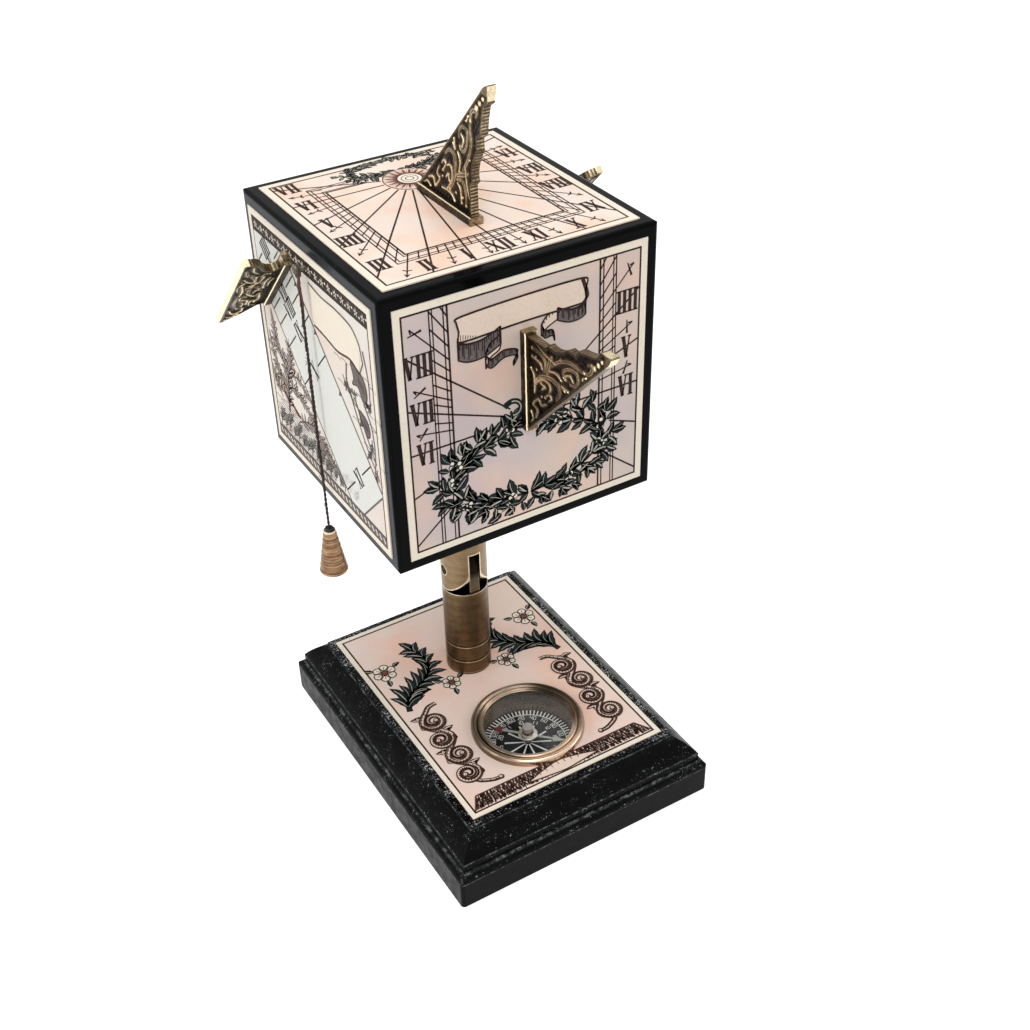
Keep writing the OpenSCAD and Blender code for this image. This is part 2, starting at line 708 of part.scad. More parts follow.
// A cast plate: a sunk ground with a raised border, scrolls and beads that stand out on both sides
module casting(outline, scrolls, beads) {
    linear_extrude(ground_t, center = true) polygon(outline);
    linear_extrude(relief_t, center = true) {
        difference() {
            polygon(outline);
            polygon(inset(outline, border_w));
        }
        for (s = scrolls) polygon(band(s[0], s[1], s[2], s[3], s[4]));
    }
    for (b = beads) translate([b[0], b[1], 0]) sphere(bead_r);
}

module blade() {
    gnomon_foot();
    translate([0, dial_t, 0]) pegs();
    casting(blade_outline, blade_scrolls, blade_beads);
}

module wing() {
    gnomon_foot();
    translate([0, dial_t, 0]) pegs();
    casting(wing_outline, wing_scrolls, []);
}

module gnomon_top() { color(brass) at_top() translate([0, dial_t, 0]) blade(); }
module gnomon_north() { color(brass) at_north() translate([0, dial_t, 0]) blade(); }
module gnomon_south() { color(brass) at_south() translate([0, dial_t, 0]) blade(); }
module gnomon_east() { color(brass) at_east() translate([0, dial_t, 0]) wing(); }
module gnomon_west() { color(brass) at_west() translate([0, dial_t, 0]) wing(); }

module plumb_peg() {
    outer = cord_d / 2 + loop_clear;
    color(steel) translate([-half, post_y, hook_z]) rotate([0, -quarter, 0]) {
        translate([0, 0, -hook_root]) cylinder(h = hook_root + line_off + outer, d = hook_d);
        translate([0, 0, line_off + outer]) cylinder(h = hook_head_t, d = hook_head_d);
    }
}

module at_hook() { translate([hook_x, post_y, hook_z]) children(); }

// The cord's upper end: a loop round the peg, bound by a knot below it
module cord_loop() {
    color([0.16, 0.1, 0.08]) at_hook() difference() {
        union() {
            rotate([0, quarter, 0]) rotate_extrude() translate([loop_r, 0]) circle(d = cord_d, $fn = 24);
            translate([0, 0, knot_z]) intersection() {
                rotate([quarter, 0, 0]) cylinder(h = 4 * knot_r, r = knot_r, center = true);
                sphere(1.25 * knot_r);
            }
        }
        rotate([0, quarter, 0]) cylinder(h = 4 * cord_d, r = hook_d / 2 + loop_clear, center = true);
    }
}

// Points along a route, at even steps of about ring_every
function stretch(a, b) =
    let (n = round(norm(b - a) / ring_every)) [for (i = [0 : n - 1]) a + (b - a) * i / n];
function route_points(route) = concat(
    [for (k = [0 : len(route) - 2]) each stretch(route[k], route[k + 1])], [route[len(route) - 1]]);

// A tube along an upright route, with its first ring at the top
module tube(route, d) {
    pts = route_points(route);
    n = len(pts);
    m = cord_sides;
    verts = [for (p = pts, j = [0 : m - 1]) p + d / 2 * [cos(360 * j / m), sin(360 * j / m), 0]];
    walls = [for (i = [0 : n - 2], j = [0 : m - 1]) let (k = (j + 1) % m)
        [i * m + j, i * m + k, (i + 1) * m + k, (i + 1) * m + j]];
    ends = [[for (j = [m - 1 : -1 : 0]) j], [for (j = [0 : m - 1]) (n - 1) * m + j]];
    polyhedron(verts, concat(walls, ends), convexity = 4);
}

module plumb_cord() {
    color([0.16, 0.1, 0.08]) at_hook() tube(cord_route, cord_d);
}

// Half section of the bob, with shallow turned rings on its cone and a bore for the plug
bob_rings = 6;
ring_depth = 0.16;
module plumb_bob() {
    top_r = bob_top_d / 2;
    foot_r = bob_d / 2;
    cone_l = bob_l - bob_r;
    flank = [for (i = [0 : bob_rings], s = [0, 1]) let (t = (i + 0.5 * s) / (bob_rings + 0.5))
        [foot_r + (top_r - foot_r) * t - s * ring_depth, -bob_l + bob_r + cone_l * t]];
    color(bronze) at_hook() translate([0, 0, -cord_l]) rotate_extrude() polygon(concat(
        [[0, -bob_l]], arc([foot_r - bob_r, -bob_l + bob_r], bob_r, -quarter, 0, 5), flank,
        [[top_r - ring_depth, 0], [plug_d / 2 + peg_clear, 0],
            [plug_d / 2 + peg_clear, -plug_l], [0, -plug_l]]));
}

module bob_plug() {
    color([0.1, 0.09, 0.08]) at_hook() translate([0, 0, -cord_l - plug_l])
        cylinder(h = plug_l + plug_up, d = plug_d);
}

base_plinth();
felt_pad();
base_print();
post();
post_bolt();
post_washer();
compass_case();
compass_bezel();
compass_glass();
compass_dial();
compass_pivot();
compass_needle();
needle_cap();
head_fork();
knuckle_pin();
head_stud();
head_washer();
head_nut();
cube_shell();
cube_floor();
dial_top();
dial_north();
dial_south();
dial_east();
dial_west();
gnomon_top();
gnomon_north();
gnomon_south();
gnomon_east();
gnomon_west();
plumb_peg();
cord_loop();
plumb_cord();
plumb_bob();
bob_plug();
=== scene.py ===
"""Looks of a pedestal cube sundial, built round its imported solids.

Sizes are written in millimetres and become metres in the meshes. The frame is the
solids' own: +X right, +Y back, +Z up, with the origin under the middle of the base.
"""

import logging
import math
import random
from dataclasses import dataclass, field
from enum import Enum
from typing import Iterable, Sequence

import bpy
import numpy as np
from mathutils import Matrix, Vector
from mathutils.geometry import delaunay_2d_cdt


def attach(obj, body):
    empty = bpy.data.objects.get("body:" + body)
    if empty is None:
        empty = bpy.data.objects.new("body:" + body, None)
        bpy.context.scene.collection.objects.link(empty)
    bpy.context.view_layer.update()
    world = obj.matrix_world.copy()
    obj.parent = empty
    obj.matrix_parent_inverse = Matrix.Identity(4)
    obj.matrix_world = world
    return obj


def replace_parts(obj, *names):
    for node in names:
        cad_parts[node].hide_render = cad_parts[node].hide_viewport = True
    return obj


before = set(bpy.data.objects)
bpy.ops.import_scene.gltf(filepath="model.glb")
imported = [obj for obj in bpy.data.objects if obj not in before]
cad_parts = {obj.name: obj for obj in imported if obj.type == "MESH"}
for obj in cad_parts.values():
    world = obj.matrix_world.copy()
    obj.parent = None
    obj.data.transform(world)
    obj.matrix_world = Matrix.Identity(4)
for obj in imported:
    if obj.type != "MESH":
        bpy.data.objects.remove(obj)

log = logging.getLogger("sundial")
MM = 0.001

Point = complex
Colour = tuple[float, float, float]
Vec = tuple[float, float, float]
Value = object
Socket = bpy.types.NodeSocket
Material = bpy.types.Material
Piece = bpy.types.Object


def as_array(vector: Sequence[float]) -> np.ndarray:
    """A vector as an array of floats."""
    return np.array(vector, float)


# The sundial's sizes


@dataclass(frozen=True)
class Sizes:
    """Sizes that several pieces share, in millimetres, as in the solids' own source."""

    side_top: float = 13.2
    fillet_foot: float = 16.1
    fillet_top: float = 19.9
    ovolo_top: float = 27.6
    plinth_top: float = 28.8
    deck: float = 29.2
    post_y: float = 19.3
    post_r: float = 9.5
    pin_z: float = 82.1
    cube_mid: float = 184.8
    half: float = 52.7
    dial_t: float = 0.4
    compass_y: float = -28.5
    card_top: float = 19.5
    needle_turn: float = 44
    arrow_from: float = 10.7
    hook_x: float = -56.0
    hook_z: float = 228.0
    cord_top: float = 224.84
    cord_foot: float = 122.1
    cord_d: float = 1.1


SIZES = Sizes()


# Meshes


class Solid:
    """Vertices and faces of one mesh, in millimetres, with a finish number for each face."""

    def __init__(self) -> None:
        """Starts with nothing in it."""
        self.verts: list[Sequence[float]] = []
        self.faces: list[Sequence[int]] = []
        self.marks: list[int] = []

    def add(self, verts: Iterable[Sequence[float]], faces: Iterable[Sequence[int]],
            mark: int = 0) -> None:
        """Adds a closed shape.

        Args:
            verts: its corners.
            faces: its faces, as places in verts.
            mark: the number of the finish that its faces take.
        """
        start = len(self.verts)
        self.verts.extend(verts)
        for face in faces:
            self.faces.append([start + i for i in face])
            self.marks.append(mark)

    def tube(self, points: Sequence[Sequence[float]], radii: Sequence[float] | float,
             sides: int = 12, mark: int = 0) -> None:
        """Adds a round tube with closed ends along points.

        Args:
            points: its centreline.
            radii: its radius, or one radius for each point.
            sides: how many sides its section has.
            mark: the number of its finish.
        """
        line = [as_array(p) for p in points]
        count = len(line)
        size = [radii] * count if isinstance(radii, (int, float)) else list(radii)
        along = [line[min(i + 1, count - 1)] - line[max(i - 1, 0)] for i in range(count)]
        side = np.cross(along[0], (0.31, 0.87, 0.38))
        rings = []
        for centre, heading, radius in zip(line, along, size):
            heading = heading / np.linalg.norm(heading)
            side = side - heading * side.dot(heading)
            side = side / np.linalg.norm(side)
            other = np.cross(heading, side)
            rings += [centre + radius * (math.cos(a) * side + math.sin(a) * other)
                      for a in np.linspace(0, 2 * math.pi, sides, endpoint=False)]
        self.add(rings, rings_to_faces(count, sides), mark)

    def turned(self, profile: Sequence[Sequence[float]], centre: Vec, mark: int) -> None:
        """Adds a body turned about an upright axis.

        Args:
            profile: radius and height of each point, all round its section.
            centre: where the axis stands.
            mark: the number of its finish.
        """
        verts, sides = [], 64
        for i in range(sides):
            angle = 2 * math.pi * i / sides
            verts += [(centre[0] + r * math.cos(angle), centre[1] + r * math.sin(angle),
                       centre[2] + z) for r, z in profile]
        count = len(profile)
        faces = [(i * count + j, ((i + 1) % sides) * count + j,
                  ((i + 1) % sides) * count + (j + 1) % count, i * count + (j + 1) % count)
                 for i in range(sides) for j in range(count)]
        self.add(verts, faces, mark)

    def build(self, name: str, body: str, finishes: Sequence[Material],
              slot: str, smooth_angle: float = 40) -> Piece:
        """Makes the object, lets it ride on its body and gives it its finishes.

        Args:
            name: the piece's name.
            body: the body that carries it.
            finishes: a material for each finish number.
            slot: not used.
            smooth_angle: edges sharper than this many degrees stay sharp.

        Returns:
            The new object.
        """
        mesh = bpy.data.meshes.new(name)
        mesh.from_pydata([tuple(float(c) * MM for c in v) for v in self.verts], [], self.faces)
        mesh.polygons.foreach_set("material_index", self.marks)
        for finish in finishes:
            mesh.materials.append(finish)
        mesh.validate()
        mesh.shade_smooth()
        mesh.set_sharp_from_angle(angle=math.radians(smooth_angle))
        return mounted(bpy.data.objects.new(name, mesh), body)


def full_turn(steps: int) -> list[float]:
    """Angles of a whole turn in even steps, with its start at both ends."""
    return [2 * math.pi * i / steps for i in range(steps + 1)]


def rings_to_faces(rings: int, sides: int) -> list[tuple[int, ...]]:
    """Faces of a tube whose rings of vertices follow each other, with closed ends.

    Args:
        rings: how many rings there are.
        sides: how many vertices each has.

    Returns:
        The faces, as places among the vertices.
    """
    faces = [(i * sides + j, i * sides + (j + 1) % sides,
              (i + 1) * sides + (j + 1) % sides, (i + 1) * sides + j)
             for i in range(rings - 1) for j in range(sides)]
    ends = [tuple(range(sides - 1, -1, -1)), tuple(range((rings - 1) * sides, rings * sides))]
    return faces + ends


def mounted(piece: Piece, body: str) -> Piece:
    """Puts a piece in the scene and on its body.

    Args:
        piece: the new object.
        body: the body that carries it.

    Returns:
        The same object.
    """
    if not piece.users_collection:
        bpy.context.scene.collection.objects.link(piece)
    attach(piece, body)
    log.info("piece %s rides on %s", piece.name, body)
    return piece


def smooth_line(points: Sequence[Point], steps: int = 6, closed: bool = False) -> list[Point]:
    """A smooth line through points.

    Args:
        points: the points that it passes through.
        steps: how many stretches lie between two of them.
        closed: whether the last point is joined to the first.

    Returns:
        The points of the line.
    """
    count = len(points)
    line = []
    spans = count if closed else count - 1
    for i in range(spans):
        a, b, c, d = (points[(i + k) % count] if closed else
                      points[min(max(i + k, 0), count - 1)] for k in (-1, 0, 1, 2))
        for step in range(steps):
            t = step / steps
            line.append(0.5 * (2 * b + (c - a) * t + (2 * a - 5 * b + 4 * c - d) * t * t
                               + (3 * b - a - 3 * c + d) * t ** 3))
    return line if closed else line + [points[-1]]


# Finishes


class Field:
    """A number that varies over a surface: one output among a finish's nodes."""

    def __init__(self, graph: "Graph", socket: Socket) -> None:
        """Holds the output and the graph that it is in."""
        self.graph, self.socket = graph, socket

    def __add__(self, other: Value) -> "Field":
        """The sum."""
        return self.graph.math("ADD", self, other)

    def __sub__(self, other: Value) -> "Field":
        """The difference."""
        return self.graph.math("SUBTRACT", self, other)

    def __mul__(self, other: Value) -> "Field":
        """The product."""
        return self.graph.math("MULTIPLY", self, other)

    def __or__(self, other: Value) -> "Field":
        """The larger of the two."""
        return self.graph.math("MAXIMUM", self, other)

    def __abs__(self) -> "Field":
        """The size without its sign."""
        return self.graph.math("ABSOLUTE", self)

    def span(self, low: float, high: float, start: float = 0, end: float = 1) -> "Field":
        """Maps low..high onto start..end with soft ends."""
        return self.graph.field("MapRange", {0: self, 1: low, 2: high, 3: start, 4: end},
                                interpolation_type="SMOOTHSTEP")

    def rise(self, low: float, high: float, top: float = 1) -> "Field":
        """For a length: 0 up to low millimetres, and top from high millimetres on."""
        return self.span(low * MM, high * MM, 0, top)

    def fall(self, low: float, high: float, top: float = 1) -> "Field":
        """For a length: top up to low millimetres, and 0 from high millimetres on."""
        return self.span(low * MM, high * MM, top, 0)

    def near(self, target: float, width: float) -> "Field":
        """For a length: 1 at target millimetres, and 0 from width millimetres away."""
        return abs(self - target * MM).fall(0, width)


class Graph:
    """The nodes of one finish, which end in a principled shader."""

    def __init__(self, name: str) -> None:
        """Starts a material with nothing but its shader."""
        self.material = bpy.data.materials.new(name)
        self.material.use_nodes = True
        self.tree = self.material.node_tree
        self.tree.nodes.clear()
        out = self.tree.nodes.new("ShaderNodeOutputMaterial")
        self.shader = self.tree.nodes.new("ShaderNodeBsdfPrincipled")
        self.tree.links.new(self.shader.outputs[0], out.inputs["Surface"])
        self.place = self.field("TexCoord", {}, "Object")

    def set(self, target: Socket, value: Value) -> None:
        """Links a field to a node's input, or gives the input a plain value."""
        if isinstance(value, Field):
            self.tree.links.new(value.socket, target)
        else:
            target.default_value = (*value, 1.0) if target.type == "RGBA" else value

    def field(self, kind: str, inputs: dict[int | str, Value], output: int | str = 0,
              **settings: Value) -> Field:
        """Adds a node.

        Args:
            kind: the node's type, without its ShaderNode beginning.
            inputs: a field or a value for each named or numbered input.
            output: the output that is wanted.
            settings: the node's own settings.

        Returns:
            The field at that output.
        """
        made = self.tree.nodes.new("ShaderNode" + kind)
        for name, value in settings.items():
            setattr(made, name, value)
        for name, value in inputs.items():
            self.set(made.inputs[name], value)
        return Field(self, made.outputs[output])

    def math(self, kind: str, a: Value, b: Value = 0.0) -> Field:
        """Arithmetic, by the Math node's own names."""
        return self.field("Math", {0: a, 1: b}, operation=kind)

    def grain(self, spot: Field, detail: float, rough: float) -> Field:
        """Noise from 0 to 1 at a place."""
        return self.field("TexNoise", {"Vector": spot, "Scale": 1.0, "Detail": detail,
                                       "Roughness": rough}, "Fac")

    def noise(self, size: float, detail: float = 4, rough: float = 0.5,
              stretch: Vec = (1, 1, 1), shift: Vec = (0, 0, 0)) -> Field:
        """Soft noise from 0 to 1 whose spots are about size millimetres across."""
        scale = [1 / (MM * size * s) for s in stretch]
        spot = self.field("Mapping", {"Vector": self.place, "Location": shift, "Scale": scale})
        return self.grain(spot, detail, rough)

    def rings(self, run: Field, size: float, detail: float = 3) -> Field:
        """Noise that changes only along run, with marks about size millimetres wide."""
        along = self.math("DIVIDE", run, size * MM)
        return self.grain(self.field("CombineXYZ", {"X": along}), detail, 0.65)

    def axis(self, name: str) -> Field:
        """One coordinate of the surface, in metres: X, Y or Z."""
        return self.field("SeparateXYZ", {0: self.place}, name)

    def distance(self, names: str, line: tuple[float, float]) -> Field:
        """Metres from the straight line that crosses two named axes at millimetre places."""
        a, b = (self.axis(name) - place * MM for name, place in zip(names, line))
        return self.math("SQRT", a * a + b * b)

    def mix(self, a: Value, b: Value, share: Value) -> Field:
        """Colour that goes from a to b as share goes from 0 to 1."""
        return self.field("Mix", {"Factor": share, 6: a, 7: b}, 2, data_type="RGBA")

    def put(self, **inputs: Value) -> None:
        """Sets the shader's inputs, with underscores for the spaces in their names."""
        for name, value in inputs.items():
            self.set(self.shader.inputs[name.replace("_", " ")], value)

    def bump(self, height: Field, depth: float, strength: float = 1.0) -> None:
        """Raises the surface by depth millimetres where height is 1."""
        self.put(Normal=self.field("Bump", {"Height": height, "Distance": depth * MM,
                                            "Strength": strength}))


@dataclass(frozen=True)
class Finish:
    """What all finishes share: a name, and nodes that each kind draws in its own way."""

    name: str

    def draw(self, g: Graph) -> None:
        """Draws the finish's nodes."""
        raise NotImplementedError

    def make(self) -> Material:
        """The finished material."""
        g = Graph(self.name)
        self.draw(g)
        return g.material

    def dress(self, *nodes: str) -> None:
        """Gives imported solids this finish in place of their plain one."""
        finish = self.make()
        for name in nodes:
            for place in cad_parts[name].material_slots:
                place.material = finish
            log.info("solid %s wears %s", name, finish.name)


@dataclass(frozen=True)
class Lacquer(Finish):
    """Black gloss lacquer on a cube, worn grey along its edges, with a painted reflection in slate
    on its east and west faces.
    """

    middle: Vec
    half: float
    black: Colour = (0.0012, 0.0014, 0.0018)
    rubbed: Colour = (0.06, 0.063, 0.066)
    slate: Colour = (0.026, 0.031, 0.037)
    edge_wear: float = 0.7

    def draw(self, g: Graph) -> None:
        """Draws the painted reflection on the east and west faces, the chipped edges, the dust and
        the hair scratches.
        """
        off = [abs(g.axis(axis) - middle * MM) for axis, middle in zip("XYZ", self.middle)]
        x, y, z = (side.rise(self.half - 1.2, self.half - 0.3) for side in off)
        # Painted reflection: the flanks, which are the east and west faces, are slate instead of
        # black.
        flank = off[0].rise(self.half - 0.12, self.half - 0.04)
        edge = x * y | y * z | z * x
        chips = g.noise(5, 7, 0.72).span(0.6, 0.7)
        dust = g.noise(0.7, 5, 0.7).span(0.7, 0.78, 0, 0.08)
        hair = g.noise(1.1, 2, 0.5, (16, 1, 9), (3.3, 0, 1)).span(0.755, 0.775, 0, 0.5)
        spotty = edge * (chips * self.edge_wear) + dust | hair
        g.put(Base_Color=g.mix(g.mix(self.black, self.slate, flank), self.rubbed, spotty),
              Roughness=g.noise(9, 4).span(0.35, 0.7, 0.1, 0.2), Specular_IOR_Level=0.04)
        g.bump(g.noise(7, 3), 0.05, 0.4)


@dataclass(frozen=True)
class PaintedWood(Finish):
    """Black paint on a moulded plinth, with clouds of white specks above its plain sides."""

    speck_from: float
    flat: float
    ridges: tuple[float, ...]
    black: Colour = (0.0014, 0.0015, 0.0017)
    speck: Colour = (0.62, 0.65, 0.65)
    mist: float = 0.004
    ridge_half: float = 0.4
    ridge_wear: float = 0.45

    def draw(self, g: Graph) -> None:
        """Draws the specks and the mist between them, a painted sheen along the ridges and the
        flecks.
        """
        height, rubbed = g.axis("Z"), 0.0
        above = height.rise(self.speck_from - 1.0, self.speck_from + 0.8)
        cloud = g.noise(8, 5, 0.62, (2.4, 1, 0.45)).span(0.38, 0.68)
        level = (g.noise(0.85, 5, 0.85) + cloud * 0.085
                 + height.rise(self.flat - 0.7, self.flat, 0.075))
        broken = g.noise(2.4, 6, 0.78).span(0.46, 0.64, 0.06, 0.75)
        # Painted sheen: light lines along the moulding's ridges, broken up by noise.
        for ridge in self.ridges:
            rubbed = height.near(ridge, self.ridge_half) * broken | rubbed
        fleck = g.noise(1.2, 5, 0.7, shift=(5, 1, 2)).span(0.73, 0.76, 0, 0.5)
        share = (level.span(0.668, 0.728) * above | rubbed * self.ridge_wear
                 | (fleck | cloud * above * self.mist))
        g.put(Base_Color=g.mix(self.black, self.speck, share),
              Roughness=g.noise(4, 4).span(0.3, 0.7, 0.24, 0.42), Specular_IOR_Level=0.05)
        g.bump(g.noise(0.9, 5, 0.65), 0.1, 0.6)


@dataclass(frozen=True)
class Paper(Finish):
    """Varnished printed paper, tinted by hand in soft patches."""

    ground: Colour = (0.86, 0.75, 0.68)
    blush: Colour = (0.87, 0.64, 0.54)
    cool: Colour = (0.72, 0.63, 0.66)
    cooled: float = 0.6
    patch: float = 38
    shift: Vec = (0, 0, 0)

    def draw(self, g: Graph) -> None:
        """Draws the tints, and over them the grain, the stains and the specks of age."""
        warm = g.noise(self.patch, 3, 0.55, shift=self.shift).span(0.42, 0.66)
        cold = g.noise(self.patch * 1.3, 3, 0.5, shift=(7.3, 2.2, 4.9))
        grain = g.noise(0.6, 5, 0.7).span(0.3, 0.8, 0, 0.1)
        stain = g.noise(4, 7, 0.75).span(0.52, 0.8, 0, 0.22)
        speck = g.noise(1.3, 6, 0.8, shift=(2, 9, 4)).span(0.68, 0.76, 0, 0.4)
        aged = self.ground
        for tint, share in ((self.blush, warm), (self.cool, cold.span(0.44, 0.66, 0, self.cooled)),
                            ((0.5, 0.38, 0.3), grain), ((0.62, 0.44, 0.33), stain),
                            ((0.38, 0.24, 0.18), speck)):
            aged = g.mix(aged, tint, share)
        g.put(Base_Color=aged, Roughness=g.noise(3, 4).span(0.3, 0.7, 0.4, 0.55),
              Specular_IOR_Level=0.25)
        g.bump(g.noise(0.35, 4, 0.6), 0.012, 0.5)


@dataclass(frozen=True)
class InkFilm(Finish):
    """Printing ink or thin paint, a little uneven where the plate pressed it."""

    colour: Colour
    thin: Colour

    def draw(self, g: Graph) -> None:
        """Draws the ink and where it lies thin."""
        g.put(Base_Color=g.mix(self.colour, self.thin, g.noise(0.8, 5, 0.7).span(0.45, 0.75)),
              Roughness=0.55, Specular_IOR_Level=0.12)
        g.bump(g.noise(0.4, 4), 0.01, 0.4)


@dataclass(frozen=True)
class TurnedBrass(Finish):
    """Brass turned on a lathe about an upright axis and darkened with age."""

    clean: Colour
    aged: Colour
    axis: tuple[float, float] = (0, SIZES.post_y)
    ring: float = 0.3
    rough: float = 0.3
    bite: float = 0.02
    scored: float = 0.3
    tarnish: float = 0.0
    patchy: float = 0.45
    soot: Colour = (0.006, 0.005, 0.004)
    bright: Colour = (0.78, 0.68, 0.5)

    def hollows(self, g: Graph, radius: Field) -> Field | None:
        """Where the brass is darkened, if it is: painted shade on the post and the fork, darker
        grooves and painted shade on the bob.
        """
        return None

    def edges(self, g: Graph, radius: Field) -> Field | None:
        """Where edges are made lighter, if they are: painted highlights on the post and the fork, a
        pale ring on the bob.
        """
        return None

    def draw(self, g: Graph) -> None:
        """Draws the lathe's rings and the age on them, the darkened places and the lighter edges,
        which on the post and the fork are painted shade and painted highlights.
        """
        radius = g.distance("XY", self.axis)
        run = radius + g.axis("Z")
        fine, broad = g.rings(run, self.ring), g.rings(run, self.ring * 11, 1)
        patch = g.noise(2.6, 6, 0.7, (1.6, 1.6, 0.6)).span(0.36, 0.68)
        share = (patch * self.patchy + fine.span(0.36, 0.64, 0, self.scored)
                 + broad.span(0.35, 0.65, 0, self.patchy * 0.55))
        # Painted shade: the ring grows darker towards its sides and its back.
        if self.tarnish:
            side = abs(g.axis("X") - self.axis[0] * MM)
            back = g.axis("Y") - self.axis[1] * MM
            share = share + side.rise(4, 22, self.tarnish) + back.rise(-14, 16, self.tarnish * 0.6)
        colour = g.mix(self.clean, self.aged, share)
        # Painted shade and painted highlights on the post and the fork; on the bob, darker grooves,
        # painted shade on one side and a pale ring.
        dark, rubbed = self.hollows(g, radius), self.edges(g, radius)
        if dark is not None:
            colour = g.mix(colour, self.soot, dark)
        if rubbed is not None:
            spotty = g.noise(1.5, 5, 0.7).span(0.3, 0.6, 0.45, 1)
            colour = g.mix(colour, self.bright, rubbed * spotty)
        g.put(Base_Color=colour, Metallic=1.0,
              Roughness=fine.span(0.3, 0.7, self.rough, self.rough + 0.14))
        g.bump(fine, self.bite, 0.7)


@dataclass(frozen=True)
class PostBrass(TurnedBrass):
    """The post: painted shade on its shoulder and beside its tongue, painted highlights on its
    edges.
    """

    shoulder: float = 72.0
    grooves: tuple[float, ...] = (36.4, 44.3)
    foot: float = SIZES.deck
    half_tongue: float = 2.3

    def hollows(self, g: Graph, radius: Field) -> Field | None:
        """Painted shade on the shoulder's face, the tongue's sides and the top of its front."""
        x, z, top, half = abs(g.axis("X")), g.axis("Z"), self.shoulder, self.half_tongue
        high = z.span((top + 1) * MM, (top + 11) * MM, 0.3, 0.97)
        tongue = (x.rise(half - 0.05, half - 0.02) | high) * z.rise(top, top + 0.1)
        face = z.rise(top - 0.06, top - 0.02) * radius.fall(8.9, 9.2)
        return tongue | face * x.rise(half - 0.1, half + 0.1)

    def edges(self, g: Graph, radius: Field) -> Field | None:
        """Painted highlights on the shoulder's rim, the lower lip of each groove and the tongue's
        corners.
        """
        x, z, top, half = abs(g.axis("X")), g.axis("Z"), self.shoulder, self.half_tongue
        rings = z.rise(top - 0.5, top - 0.2)
        for groove in self.grooves:
            rings = rings | z.near(groove - 0.62, 0.42)
        rims = (rings | z.near(self.foot + 0.9, 0.35) * 0.35) * radius.rise(9.15, 9.35)
        corner = x.rise(half - 0.5, half - 0.25) * x.fall(half - 0.06, half - 0.03)
        reach = z.rise(top, top + 0.2) * z.fall(top + 6, top + 10)
        return rims | x.fall(half - 0.1, half, 0.12) * reach | corner * reach * 0.4


@dataclass(frozen=True)
class ForkBrass(TurnedBrass):
    """The fork: painted shade inside its slot, painted highlights round the slot and its cheeks."""

    pin_z: float = SIZES.pin_z
    half_slot: float = 2.38
    roof: float = 91.4
    cheek: float = SIZES.post_r
    pin: float = 2.2

    def hollows(self, g: Graph, radius: Field) -> Field | None:
        """Painted shade on the slot's walls and roof, and on the cheeks' round undersides."""
        x, z = abs(g.axis("X")), g.axis("Z")
        gap = g.distance("YZ", (self.axis[1], self.pin_z))
        inside_slot = (x.fall(self.half_slot + 0.03, self.half_slot + 0.08)
                       * z.fall(self.roof + 0.03, self.roof + 0.08))
        under = (gap.rise(self.cheek - 0.05, self.cheek - 0.02)
                 * z.fall(self.pin_z - 0.3, self.pin_z))
        return inside_slot | under

    def edges(self, g: Graph, radius: Field) -> Field | None:
        """Painted highlights on the slot's rim, the cheeks' rims and the rim of the pin's hole."""
        x, z = abs(g.axis("X")), g.axis("Z")
        gap = g.distance("YZ", (self.axis[1], self.pin_z))
        outside = radius.rise(9.1, 9.3)
        beside = (x.fall(self.half_slot + 0.3, self.half_slot + 0.6)
                  * z.fall(self.roof + 0.4, self.roof + 0.7))
        cheek = gap.rise(self.cheek - 0.6, self.cheek - 0.3) * z.fall(self.pin_z - 0.4, self.pin_z)
        hole = gap.fall(self.pin + 0.15, self.pin + 0.5) * x.rise(6, 7)
        return beside * outside | cheek * outside | hole


@dataclass(frozen=True)
class BobBronze(TurnedBrass):
    """The bob: bronze with close turned rings and a pale ring at its top."""

    collar: float = 120.2
    groove_every: float = 1.2

    def hollows(self, g: Graph, radius: Field) -> Field | None:
        """Darker bands along the close grooves round it, and painted shade on its right side."""
        wave = g.math("SINE", g.axis("Z") * (2 * math.pi / (self.groove_every * MM)))
        side = g.axis("X") - self.axis[0] * MM
        return wave.span(0.35, 0.95, 0, 0.45) | side.rise(1.5, 7.5, 0.6)

    def edges(self, g: Graph, radius: Field) -> Field | None:
        """The pale ring under the black plug."""
        return g.axis("Z").rise(self.collar, self.collar + 0.15)


@dataclass(frozen=True)
class CastBrass(Finish):
    """Brass cast in sand: dark patina in its recesses, and worn bright with painted highlights
    where it stands out.
    """

    hollow: Colour = (0.004, 0.003, 0.0022)
    face: Colour = (0.12, 0.086, 0.048)
    rubbed: Colour = (0.88, 0.72, 0.47)

    def draw(self, g: Graph) -> None:
        """Draws the patina, the wear and the painted highlights by the tone that the casting's mesh
        holds.
        """
        tone = g.field("Attribute", {}, "Fac", attribute_name="tone")
        grit = g.noise(0.6, 5, 0.7)
        uneven = tone + (g.noise(4, 4, 0.6) - 0.5) * 0.5 + (grit - 0.5) * 0.55
        patina = g.mix(self.hollow, self.face, uneven.span(0.12, 0.52))
        g.put(Base_Color=g.mix(patina, self.rubbed, uneven.span(0.56, 1.0)), Metallic=0.95,
              Roughness=uneven.span(0.1, 1.0, 0.42, 0.22))
        g.bump(grit, 0.08, 0.55)


@dataclass(frozen=True)
class Metal(Finish):
    """Plain worked metal with fine scratches."""

    colour: Colour
    dull: Colour
    rough: float = 0.32

    def draw(self, g: Graph) -> None:
        """Draws the dull patches and the scratches."""
        scratch = g.noise(0.3, 4, 0.6, (1, 12, 3))
        g.put(Base_Color=g.mix(self.colour, self.dull, g.noise(2, 5, 0.6).span(0.35, 0.7)),
              Metallic=1.0, Roughness=scratch.span(0.3, 0.7, self.rough, self.rough + 0.12))
        g.bump(scratch, 0.01, 0.6)


